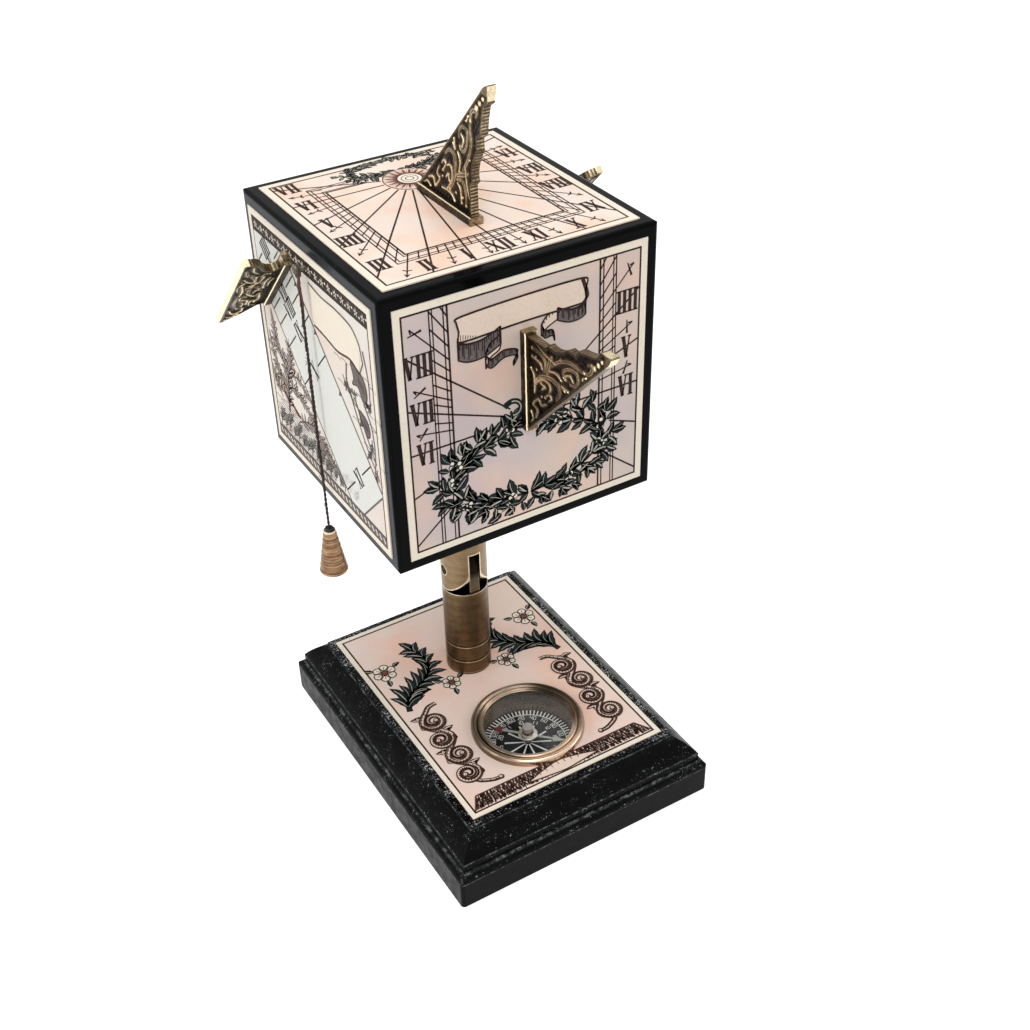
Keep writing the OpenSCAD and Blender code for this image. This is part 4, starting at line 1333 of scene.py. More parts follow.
INK_FILMS = (
    InkFilm("line_ink", (0.022, 0.012, 0.01), (0.07, 0.04, 0.032)),
    InkFilm("leaf_ink", (0.004, 0.009, 0.009), (0.016, 0.028, 0.026)),
    InkFilm("pale_leaf_ink", (0.5, 0.49, 0.42), (0.32, 0.34, 0.28)),
    InkFilm("rust_ink", (0.17, 0.05, 0.035), (0.36, 0.15, 0.12)),
    InkFilm("sky_paint", (0.815, 0.82, 0.76), (0.77, 0.765, 0.71)),
    InkFilm("grey_ink", (0.13, 0.11, 0.11), (0.24, 0.2, 0.19)),
    InkFilm("ivory_paint", (0.93, 0.84, 0.7), (0.86, 0.75, 0.6)),
    InkFilm("white_ink", (0.95, 0.97, 0.95), (0.75, 0.77, 0.76)),
    InkFilm("cream_paint", (0.86, 0.7, 0.58), (0.8, 0.6, 0.48)),
    InkFilm("brown_ink", (0.06, 0.028, 0.02), (0.14, 0.07, 0.055)),
)

# Each letter's strokes in a box one wide and one high: from, to, and thickness
LETTERS = {
    "I": (0.27, ((0.5 - 0.5j, 0.5 + 0.5j, 0.16), (0.02 - 0.5j, 0.98 - 0.5j, 0.065),
                 (0.02 + 0.5j, 0.98 + 0.5j, 0.065))),
    "V": (0.54, ((0.22 + 0.5j, 0.52 - 0.5j, 0.17), (0.8 + 0.5j, 0.52 - 0.5j, 0.07),
                 (0.02 + 0.5j, 0.42 + 0.5j, 0.065), (0.64 + 0.5j, 0.98 + 0.5j, 0.065))),
    "X": (0.58, ((0.2 + 0.5j, 0.8 - 0.5j, 0.17), (0.8 + 0.5j, 0.2 - 0.5j, 0.07),
                 (0.02 + 0.5j, 0.38 + 0.5j, 0.065), (0.64 + 0.5j, 0.98 + 0.5j, 0.065),
                 (0.02 - 0.5j, 0.36 - 0.5j, 0.065), (0.62 - 0.5j, 0.98 - 0.5j, 0.065))),
}

# The seven bars of a plain figure, and the bars that each digit lights
BARS = (0.5j, 0.5 + 0.25j, 0.5 - 0.25j, -0.5j, -0.5 - 0.25j, -0.5 + 0.25j, 0j)
DIGITS = ("012345", "12", "01643", "01623", "5612", "05623", "054326", "012", "0123456", "650123")


def polar(radius: float, degrees: float) -> Point:
    """A point at a distance and an angle from the origin."""
    return radius * Point(math.cos(math.radians(degrees)), math.sin(math.radians(degrees)))


def round_points(centre: Point, radius: float, sides: int) -> list[Point]:
    """Points at even steps round a circle."""
    return [centre + Point(radius * math.cos(a), radius * math.sin(a))
            for a in np.linspace(0, 2 * math.pi, sides, endpoint=False)]


def swirl(centre: Point, outer: float, inner: float, start: float, turn: float,
          count: int = 22) -> list[Point]:
    """Points of a spiral that winds in from radius outer to radius inner."""
    return [centre + polar(outer + (inner - outer) * t, start + turn * t)
            for t in np.linspace(0, 1, count)]


def clipped(start: Point, end: Point, low: Point, high: Point) -> tuple[Point, Point] | None:
    """The part of a straight line that lies inside a rectangle, if there is one.

    Args:
        start: the line's start.
        end: its end.
        low: the rectangle's lower left corner.
        high: its upper right corner.

    Returns:
        The two ends of that part, or None.
    """
    first, last = 0.0, 1.0
    step = end - start
    for place, move, floor, roof in ((start.real, step.real, low.real, high.real),
                                     (start.imag, step.imag, low.imag, high.imag)):
        if abs(move) < 1e-9:
            if not floor <= place <= roof:
                return None
            continue
        a, b = sorted(((floor - place) / move, (roof - place) / move))
        first, last = max(first, a), min(last, b)
    return (start + step * first, start + step * last) if first < last else None


class Print:
    """Ink on one printed sheet, drawn in millimetres from the sheet's middle."""

    film = 0.035

    def __init__(self, middle: Vec, right: Vec, up: Vec, flip: int = 1) -> None:
        """Lays the sheet's own axes.

        Args:
            middle: the middle of the sheet's face.
            right: the direction of the drawing's x.
            up: the direction of the drawing's y.
            flip: -1 draws everything but the numerals mirrored.
        """
        self.middle, self.right, self.up = as_array(middle), as_array(right), as_array(up)
        self.out = np.cross(self.right, self.up)
        self.flip = flip
        self.solid = Solid()

    def spot(self, p: Point, lift: float) -> np.ndarray:
        """The place of a point of the drawing, lift films above the paper."""
        return self.middle + self.right * p.real + self.up * p.imag + self.out * lift * self.film

    def strip(self, left: Sequence[Point], right: Sequence[Point], ink: Ink, lift: int = 1,
              closed: bool = False) -> None:
        """Lays a film of ink between two lines with as many points each.

        Args:
            left: the line on the left of its course.
            right: the line on the right.
            ink: its ink.
            lift: how many films above the paper its face lies.
            closed: whether its end meets its start.
        """
        if self.flip < 0:
            left, right = ([Point(-p.real, p.imag) for p in line] for line in (right, left))
        n = len(left)
        verts = [self.spot(p, h) for h in (lift, -0.6) for line in (left, right) for p in line]
        faces = []
        for i in range(n if closed else n - 1):
            j = (i + 1) % n
            faces += [(i, n + i, n + j, j), (2 * n + i, 2 * n + j, 3 * n + j, 3 * n + i),
                      (i, j, 2 * n + j, 2 * n + i), (n + j, n + i, 3 * n + i, 3 * n + j)]
        if not closed:
            faces += [(0, 2 * n, 3 * n, n), (n - 1, 2 * n - 1, 4 * n - 1, 3 * n - 1)]
        self.solid.add(verts, faces, ink.value)

    def band(self, one: Sequence[Point], other: Sequence[Point], ink: Ink, lift: int = 1) -> None:
        """Lays a film of ink between two lines, whichever of them lies on the left."""
        k = len(one) // 2
        if (np.conj(one[k + 1] - one[k - 1]) * (other[k] - one[k])).imag > 0:
            one, other = other, one
        self.strip(one, other, ink, lift)

    def fill(self, outline: Sequence[Point], ink: Ink, lift: int = 1) -> None:
        """Lays a film of ink inside an outline that runs anticlockwise.

        Args:
            outline: the outline's points.
            ink: its ink.
            lift: how many films above the paper its face lies.
        """
        if self.flip < 0:
            outline = [Point(-p.real, p.imag) for p in reversed(outline)]
        n = len(outline)
        verts = [self.spot(p, h) for h in (lift, -0.6) for p in outline]
        sides = [(i, n + i, n + (i + 1) % n, (i + 1) % n) for i in range(n)]
        self.solid.add(verts, [tuple(range(n)), tuple(range(2 * n - 1, n - 1, -1))] + sides,
                       ink.value)

    def brush(self, points: Sequence[Point], widths: float | Sequence[float], ink: Ink = Ink.LINE,
              lift: int = 1, closed: bool = False) -> None:
        """Draws a line.

        Args:
            points: where it goes.
            widths: its width, its widths at both ends, or its width at each point.
            ink: its ink.
            lift: how many films above the paper its face lies.
            closed: whether its end meets its start.
        """
        line = np.array(points, complex)
        if isinstance(widths, (int, float)):
            widths = (widths, widths)
        width = np.array(widths) if len(widths) == len(line) else np.linspace(*widths, len(line))
        apart = np.abs(np.diff(line, prepend=line[0] + 1)) > 1e-6
        line, width = line[apart], width[apart]
        ahead = np.roll(line, -1) - line
        behind = line - np.roll(line, 1)
        if not closed:
            ahead[-1], behind[0] = behind[-1], ahead[0]
        ahead, behind = ahead / np.abs(ahead), behind / np.abs(behind)
        middle = ahead + behind
        middle = middle / np.maximum(np.abs(middle), 0.4)
        reach = 1j * middle * width / 2 / np.clip((middle * np.conj(ahead)).real, 0.5, 1)
        self.strip(list(line + reach), list(line - reach), ink, lift, closed)

    def ring(self, centre: Point, radius: float, width: float, ink: Ink = Ink.LINE,
             lift: int = 1, sides: int = 40) -> None:
        """Draws a circle."""
        self.brush(round_points(centre, radius, sides), width, ink, lift, True)

    def disc(self, centre: Point, radius: float, ink: Ink, lift: int = 1,
             sides: int = 28) -> None:
        """Fills a circle."""
        self.fill(round_points(centre, radius, sides), ink, lift)

    def frame(self, half_w: float, half_h: float, width: float, ink: Ink = Ink.LINE) -> None:
        """Draws a rectangle round the sheet's middle."""
        inner, corners = ([Point(x * (half_w - inset), y * (half_h - inset))
                           for x, y in ((-1, -1), (1, -1), (1, 1), (-1, 1))]
                          for inset in (width, 0))
        self.strip(inner, corners, ink, closed=True)

    def leaf(self, base: Point, tip: Point, half: float, bend: float = 0.0,
             ink: Ink = Ink.LEAF, shine: Ink | None = Ink.PALE, light: float = 0.3) -> None:
        """Draws a pointed leaf with a paler streak on one side.

        Args:
            base: where it joins its stem.
            tip: its point.
            half: its greatest half width.
            bend: how far its middle lies to the left of its chord.
            ink: its ink.
            shine: the ink of the light along one side, if it has one.
            light: how much of that side the light takes.
        """
        steps = np.linspace(0, 1, 11)
        side = 1j * (tip - base) / abs(tip - base)
        spine = base + (tip - base) * steps + side * bend * np.sin(math.pi * steps)
        half_width = half * np.sin(math.pi * steps ** 0.85) ** 0.9 + 0.08
        edge = 1 + 0.1 * np.sin(steps * 19)
        self.strip(list(spine + side * half_width * edge), list(spine - side * half_width * edge),
                   ink)
        if shine:
            inner = slice(1, 9)
            self.strip(list((spine + side * half_width * (0.12 + light))[inner]),
                       list((spine + side * half_width * 0.12)[inner]), shine, 2)

    def numeral(self, text: str, at: Point, height: float = 7.6, turn: float = 0) -> None:
        """Draws a Roman numeral, centred on a point and turned by some degrees.

        Args:
            text: its letters.
            at: the point.
            height: its height.
            turn: the degrees.
        """
        flip, self.flip = self.flip, 1
        at = Point(flip * at.real, at.imag)
        way = polar(height, flip * turn)
        x = -sum(LETTERS[letter][0] for letter in text) / 2
        for letter in text:
            width, strokes = LETTERS[letter]
            for start, end, thick in strokes:
                a, b = (at + Point(x + p.real * width, p.imag) * way for p in (start, end))
                self.brush([a, b], thick * height, lift=2)
            x += width
        self.flip = flip

    def number(self, value: int, at: Point, height: float, turn: float) -> None:
        """Draws a small plain white number, centred on a point and turned by some degrees.

        Args:
            value: the number.
            at: the point.
            height: its height.
            turn: the degrees.
        """
        way = polar(height, turn)
        text = str(value)
        for place, digit in enumerate(text):
            x = (place - (len(text) - 1) / 2) * 0.78
            for bar in DIGITS[int(digit)]:
                centre = Point(x + BARS[int(bar)].real * 0.9 * 0.56, BARS[int(bar)].imag)
                reach = 0.25 if int(bar) in (0, 3, 6) else 0.25j
                self.brush([at + (centre - reach) * way, at + (centre + reach) * way],
                           0.13 * height, Ink.WHITE)

    def dart(self, start: Point, end: Point) -> None:
        """Draws the arrow that marks a half hour, with a bar across it."""
        way = (end - start) / abs(end - start)
        self.brush([start, end - way], 0.5)
        self.fill([end + way * 1.1, end - way * 1.4 + 1.15j * way, end - way * 0.7,
                   end - way * 1.4 - 1.15j * way], Ink.LINE)
        bar = end - way * 3.4
        self.brush([bar - 1.5j * way - 0.8 * way, bar, bar + 1.5j * way - 0.8 * way], 0.55)

    def cross(self, start: Point, end: Point) -> None:
        """Draws the half hour's other mark: a line with a slanting bar across its end."""
        way = (end - start) / abs(end - start)
        self.brush([start, end], 0.5)
        bar = end - way * 2.6
        self.brush([bar - way * polar(2.6, 62), bar + way * polar(2.6, 62)], [0.9, 0.45])
        self.brush([end - way * 1.6 + 0.9j * way, end], 0.6)

    def border(self, half_w: float, half_h: float, ivory: float = 2.5,
               line: float = 0.7) -> None:
        """Draws the ivory border and the dark line inside it."""
        self.frame(half_w, half_h, ivory, Ink.IVORY)
        self.frame(half_w - ivory, half_h - ivory, line)

    def build(self, name: str, body: str, films: Sequence[Material],
              slot: str) -> Piece:
        """Makes the drawing's piece."""
        return self.solid.build(name, body, films, slot, 20)


def hour_angle(hours: float) -> float:
    """Degrees from the noon line at which an hour line lies on the top and south dials.

    Args:
        hours: hours after noon, or before it where negative.

    Returns:
        The angle.
    """
    if abs(hours) == 6:
        return math.copysign(90, hours)
    share = math.sin(math.radians(45)) * math.tan(math.radians(15 * hours))
    angle = math.degrees(math.atan(share))
    return angle if abs(hours) < 6 else angle + math.copysign(180, hours)


@dataclass
class SquareDial:
    """The lines and numerals of the top dial, which the south dial shares."""

    sheet: Print
    centre: Point = 25j
    reach: float = 45.1
    outer: float = 35.4
    inner: float = 30.2
    low: float = 34
    low_inner: float = 29
    clear: float = 10.2
    dart_at: float = 42.4
    dart_low: float = 43.1
    late: float = 7
    far: float = 160

    def rectangle(self, half: float, foot: float, start: Point, end: Point
                  ) -> tuple[Point, Point] | None:
        """The part of a line inside a rectangle that is open at the top."""
        return clipped(start, end, Point(-half, -foot), Point(half, self.reach))

    def ray(self, hours: float) -> Point:
        """The direction of an hour's line, from noon straight down."""
        return -1j * polar(1, hour_angle(hours))

    def draw_lines(self) -> None:
        """Draws the hour lines, the quarter-hour ticks and the half-hour darts."""
        for step in range(round(-4 * self.late), round(4 * self.late) + 1):
            hours = step / 4
            way = self.ray(hours)
            start, end = self.centre, self.centre + self.far * way
            whole = self.rectangle(self.reach, self.reach, start + self.clear * way, end)
            if step % 4 == 0 and whole:
                self.sheet.brush(list(whole), 0.66)
                continue
            near = self.rectangle(self.inner, self.low_inner, start, end)
            band = self.rectangle(self.outer, self.low, start, end)
            if near and band and abs(band[1] - near[1]) > 0.5 and band[1].imag < self.outer:
                self.sheet.brush([near[1], band[1]], 0.5)
            mark = self.rectangle(self.dart_at, self.dart_low, start, end)
            if step % 4 == 2 and mark and mark[1].imag < 40:
                self.sheet.dart(band[1], mark[1])

    def draw_ladder(self, gap: float) -> None:
        """Draws the double lines of the band, whose ends stop gap short of the middle."""
        for half, foot, top, width in ((self.outer, self.low, 35.6, 0.5),
                                       (self.outer - 1.3, self.low - 1.3, 34.3, 0.45),
                                       (self.inner + 1.1, self.low_inner + 1.1, 31.4, 0.45),
                                       (self.inner, self.low_inner, 30.5, 0.75)):
            self.sheet.brush([Point(-gap, top), Point(-half, top), Point(-half, -foot),
                              Point(half, -foot), Point(half, top), Point(gap, top)], width)

    def draw_numerals(self, places: dict[str, tuple[Point, ...]]) -> None:
        """Draws numerals at their places."""
        for text, spots in places.items():
            for spot in spots:
                self.sheet.numeral(text, spot)

    def draw_sunburst(self) -> None:
        """Draws the sunburst round the point where the hour lines meet."""
        sheet, middle = self.sheet, self.centre
        sheet.disc(middle, 9.6, Ink.CREAM, 2, sides=48)
        thin = [(6 * i, 9.5 if i % 2 else 8.2, 4.3, 0.24, 3) for i in range(60)]
        broad = [(18 * i + 9, 9.2, 4.4, 0.75, 4) for i in range(20)]
        for turn, far, near, half, lift in thin + broad:
            way = polar(1, turn)
            sheet.fill([middle + way * far, middle + way * near + half * 1j * way,
                        middle + way * near - half * 1j * way], Ink.RUST, lift)
        sheet.ring(middle, 9.6, 0.4, Ink.RUST, 3)
        sheet.disc(middle, 4.6, Ink.IVORY, 5)
        for radius, width, sides in ((4.6, 0.5, 40), (3, 0.3, 40), (1.5, 0.35, 24)):
            sheet.ring(middle, radius, width, Ink.BROWN, 6, sides)


# How far from a dial's middle its leaves may reach
INSIDE = 44.2


def leaflet(sheet: Print, base: Point, way: Point, long: float, rng: random.Random) -> None:
    """Draws one uneven laurel leaf from a point in a direction, kept inside the border.

    Args:
        sheet: the print to draw on.
        base: where it joins its stem.
        way: its direction.
        long: its length, before it is varied.
        rng: the source of the unevenness.
    """
    long *= rng.uniform(0.8, 1.15)
    way *= polar(1, rng.uniform(-8, 8))
    tip = base + way * long
    tip = Point(*(min(max(part, -INSIDE), INSIDE) for part in (tip.real, tip.imag)))
    sheet.leaf(base + way * 0.3, tip, long * rng.uniform(0.19, 0.25),
               rng.uniform(-0.12, 0.12) * long, light=rng.choice((0.08, 0.12, 0.16, 0.42)))


def wreath(sheet: Print, centre: Point, wide: float, high: float, leaf: float,
           rng: random.Random, gap: float, berries: int) -> None:
    """Draws two leafy branches that meet below and above a bare oval.

    Args:
        sheet: the print to draw on.
        centre: the oval's middle.
        wide: half its width, to the middle of the branches.
        high: half its height.
        leaf: the leaves' length.
        rng: the source of their unevenness.
        gap: how many degrees of the top stay open.
        berries: how many bunches of berries there are.
    """
    def at(angle: float, grow: float = 0) -> Point:
        """A point of the oval, grown outwards by grow."""
        return centre + Point((wide + grow) * math.cos(math.radians(angle)),
                                (high + grow) * math.sin(math.radians(angle)))

    for side in (-1, 1):
        angles = [-90 + side * a for a in np.linspace(1, 180 - gap, 70)]
        sheet.brush([at(a) for a in angles], (1.1, 0.4), Ink.LEAF)
        gone = leaf
        for a, b in zip(angles, angles[1:]):
            gone += abs(at(b) - at(a))
            if gone < leaf * 0.6:
                continue
            gone = 0.0
            way = (at(b) - at(a)) / abs(at(b) - at(a))
            for turn, size in ((side * 52, 0.9), (side * 22, 0.8), (-side * 30, 0.85)):
                leaflet(sheet, at(a), way * polar(1, turn + rng.uniform(-16, 16)), leaf * size, rng)
            out = way * polar(1, -side * rng.uniform(38, 62))
            long = leaf * rng.uniform(0.55, 1.0)
            twig = [at(a), at(a) + out * long * 0.6, at(a) + out * polar(1, side * 14) * long]
            sheet.brush(twig, [0.6, 0.45, 0.3], Ink.LEAF)
            for joint, turn in ((1, -60), (2, -20), (2, 14), (1, 52)):
                leaflet(sheet, twig[joint], out * polar(1, turn), leaf * 0.74, rng)
    for i in range(berries):
        spot = at(360 * (i + 0.5) / berries + rng.uniform(-9, 9), rng.uniform(-1, 3))
        for _ in range(6):
            berry = spot + Point(rng.uniform(-2, 2), rng.uniform(-1.8, 1.8))
            sheet.disc(berry, leaf * 0.11, Ink.IVORY, 3, sides=14)
            sheet.ring(berry, leaf * 0.11, 0.3, Ink.LEAF, 4, sides=16)


def ribbon(sheet: Print, left: float, right: float, low: float, high: float) -> None:
    """Draws a bare ribbon with a hatched curl behind each end.

    Args:
        sheet: the print to draw on.
        left: where its face starts.
        right: where its face ends.
        low: the height of its lower edge.
        high: the height of its upper edge.
    """
    top = smooth_line([Point(left, high - 2.2), Point(left + 2, high - 0.6),
                       Point((left + right) / 2, high + 0.3), Point(right - 3, high + 0.2),
                       Point(right, high - 1.2)], 8)
    foot = smooth_line([Point(left + 0.2, low), Point(left + 5, low - 0.3),
                        Point((left + right) / 2, low + 0.4), Point(right - 4, low + 0.4),
                        Point(right - 0.6, low + 0.9)], 8)
    first = ((0j, 3.4 - 1.4j, 8.6 - 1.2j, 14 + 1.2j), 5.8, Ink.GREY)
    tails = (
        (1, Point(left + 0.2, low), 1.14, first,
         ((14 + 1.2j, 13.4 - 1.6j, 10.4 - 3.4j, 8.8 - 6.6j), 4.6, Ink.CREAM),
         ((8.8 - 6.6j, 10.8 - 8.6j, 15 - 7j, 19.4 - 8.2j, 18 - 11.6j), 3.4, Ink.GREY)),
        (-1, Point(right - 0.8, low + 0.6), 0.8, first,
         ((14 + 1.2j, 15.4 + 0.6j, 19.4 - 1.4j, 21.8 - 4.4j), 5.4, Ink.CREAM),
         ((21.8 - 4.4j, 20 - 7.6j, 16.4 - 8.4j, 15.4 - 12j), 4.4, Ink.GREY)))
    for side, root, size, *runs in tails:
        for level, (points, tall, ink) in enumerate(runs):
            upper = smooth_line([root + size * Point(side * p.real, p.imag) for p in points], 8)
            share = np.linspace(0, 0.6 if level == 2 else 0, len(upper))
            lower = [p - 1j * size * tall * (1 - s) for p, s in zip(upper, share)]
            sheet.band(upper, lower, ink, 4 - level)
            for line in (upper, lower, [upper[0], lower[0]], [upper[-1], lower[-1]]):
                sheet.brush(line, 0.55, Ink.LINE, 5 - level)
            for i in range(1, len(upper) - 1, 1 if ink is Ink.GREY else 3):
                deep = 0.5 + 0.4 * math.sin(i * 1.7) if ink is Ink.GREY else 0.3
                sheet.brush([upper[i], upper[i] + (lower[i] - upper[i]) * deep], 0.4, Ink.LINE,
                            5 - level)
    sheet.strip(top, foot, Ink.CREAM, 5)
    sheet.brush(top, 0.65, Ink.LINE, 6)
    sheet.brush(foot, 0.75, Ink.LINE, 6)
    for end in (0, -1):
        sheet.brush([top[end], (top[end] + foot[end]) / 2 - (0.7 if end else -0.7), foot[end]],
                    0.65, Ink.LINE, 6)
    fold = smooth_line([Point(right - 2.4, low + 0.8), Point(right - 1, low + 3),
                        Point(right - 2.8, high - 0.2)], 6)
    sheet.band(fold, [p + Point(1.5, 0.2) for p in fold], Ink.LINE, 6)
    for i in range(7):
        x = left + 1.2 + 0.9 * i
        sheet.brush([Point(x, low + 0.3), Point(x + 0.2, low + 2.4 - 0.3 * i)], 0.25,
                    Ink.LINE, 6)


def spray(sheet: Print, root: Point, points: Sequence[Point], leaf: float, rng: random.Random,
          ink: Ink = Ink.LEAF, shine: Ink | None = Ink.PALE, thick: float = 1.4) -> None:
    """Draws a curved stem with leaves on both sides of it.

    Args:
        sheet: the print to draw on.
        root: where the stem starts.
        points: the points that it passes through.
        leaf: the leaves' length.
        rng: the source of the unevenness.
        ink: the ink of stem and leaves.
        shine: the ink of the light on the leaves, if they have it.
        thick: the stem's width at its root.
    """
    line = smooth_line([root, *points], 7)
    sheet.brush(line, (thick, 0.3), ink)
    for i in range(3, len(line) - 1, 2):
        way = (line[i + 1] - line[i - 1]) / abs(line[i + 1] - line[i - 1])
        for side in (-1, 1):
            heading = way * polar(1, side * rng.uniform(30, 58))
            long = leaf * rng.uniform(0.75, 1.15) * (1 - 0.35 * i / len(line))
            sheet.leaf(line[i], line[i] + heading * long, long * 0.17, -side * long * 0.09, ink,
                       shine)
    end = line[-1]
    way = (end - line[-2]) / abs(end - line[-2])
    sheet.leaf(end - way * 0.5, end + way * leaf, leaf * 0.17, 0.1, ink, shine)


def double_scroll(sheet: Print, points: Sequence[Point], width: float, knob: float,
                  over: int = 0) -> None:
    """Draws a shaded brown band between two lines, with a ball at its end.

    Args:
        sheet: the print to draw on.
        points: the points that it passes through.
        width: its greatest width.
        knob: the ball's radius.
        over: how many films lie under it.
    """
    line, ink = np.array(smooth_line(points, 8)), Ink.BROWN
    taper = np.interp(np.linspace(0, 1, len(line)), [0, 0.3, 1],
                      [width * 0.55, width, width * 0.5])
    way = np.gradient(line)
    side = 1j * (way / np.abs(way)) * taper
    sheet.brush(list(line + 0.25 - 0.25j), list(taper + 0.5), ink, 1 + over)
    sheet.brush(line, list(taper), Ink.CREAM, 2 + over)
    sheet.brush(list(line + side * 0.46), 0.5, ink, 3 + over)
    sheet.brush(list(line - side * 0.46), 0.55, ink, 3 + over)
    sheet.brush(list(line - side * 0.16)[3:-3], 0.34, ink, 3 + over)
    for i in range(3, len(line) - 3, 2):
        far = 0.05 if i % 4 < 2 else -0.16
        sheet.brush([line[i] - side[i] * 0.48, line[i] - side[i] * far], 0.45, ink, 3 + over)
    for shift, radius, tone, sides in ((0j, knob + 0.25, ink, 20),
                                       (Point(-0.12, 0.18), knob * 0.62, Ink.CREAM, 14),
                                       (Point(-0.1, 0.1), knob * 0.22, ink, 10)):
        over += 1
        sheet.disc(line[-1] + shift * knob, radius, tone, 3 + over, sides)


def rosette(sheet: Print, centre: Point, radius: float, turn: float) -> None:
    """Draws an open flower with six petals.

    Args:
        sheet: the print to draw on.
        centre: its middle.
        radius: the petals' reach.
        turn: the direction of its first petal, in degrees.
    """
    for i in range(6):
        way = radius * polar(1, turn + 60 * i)
        petal = smooth_line([centre + way * p for p in (0.3, 0.72 + 0.36j, 1, 0.72 - 0.36j)],
                            5, True)
        petal = petal if shape_area(petal) > 0 else petal[::-1]
        sheet.fill(petal, Ink.IVORY, 2)
        sheet.brush(petal, 0.42, Ink.LINE, 3, True)
        sheet.brush([centre + way * 0.35, centre + way * 0.74], 0.25, Ink.LINE, 3)
    sheet.disc(centre, radius * 0.27, Ink.RUST, 4, sides=20)
    sheet.ring(centre, radius * 0.27, 0.35, Ink.LINE, 5, sides=20)


def shape_area(points: Sequence[Point]) -> float:
    """Twice the area inside a line, positive where it runs anticlockwise."""
    line = np.array(points)
    return float((np.conj(line) * np.roll(line, -1)).imag.sum())


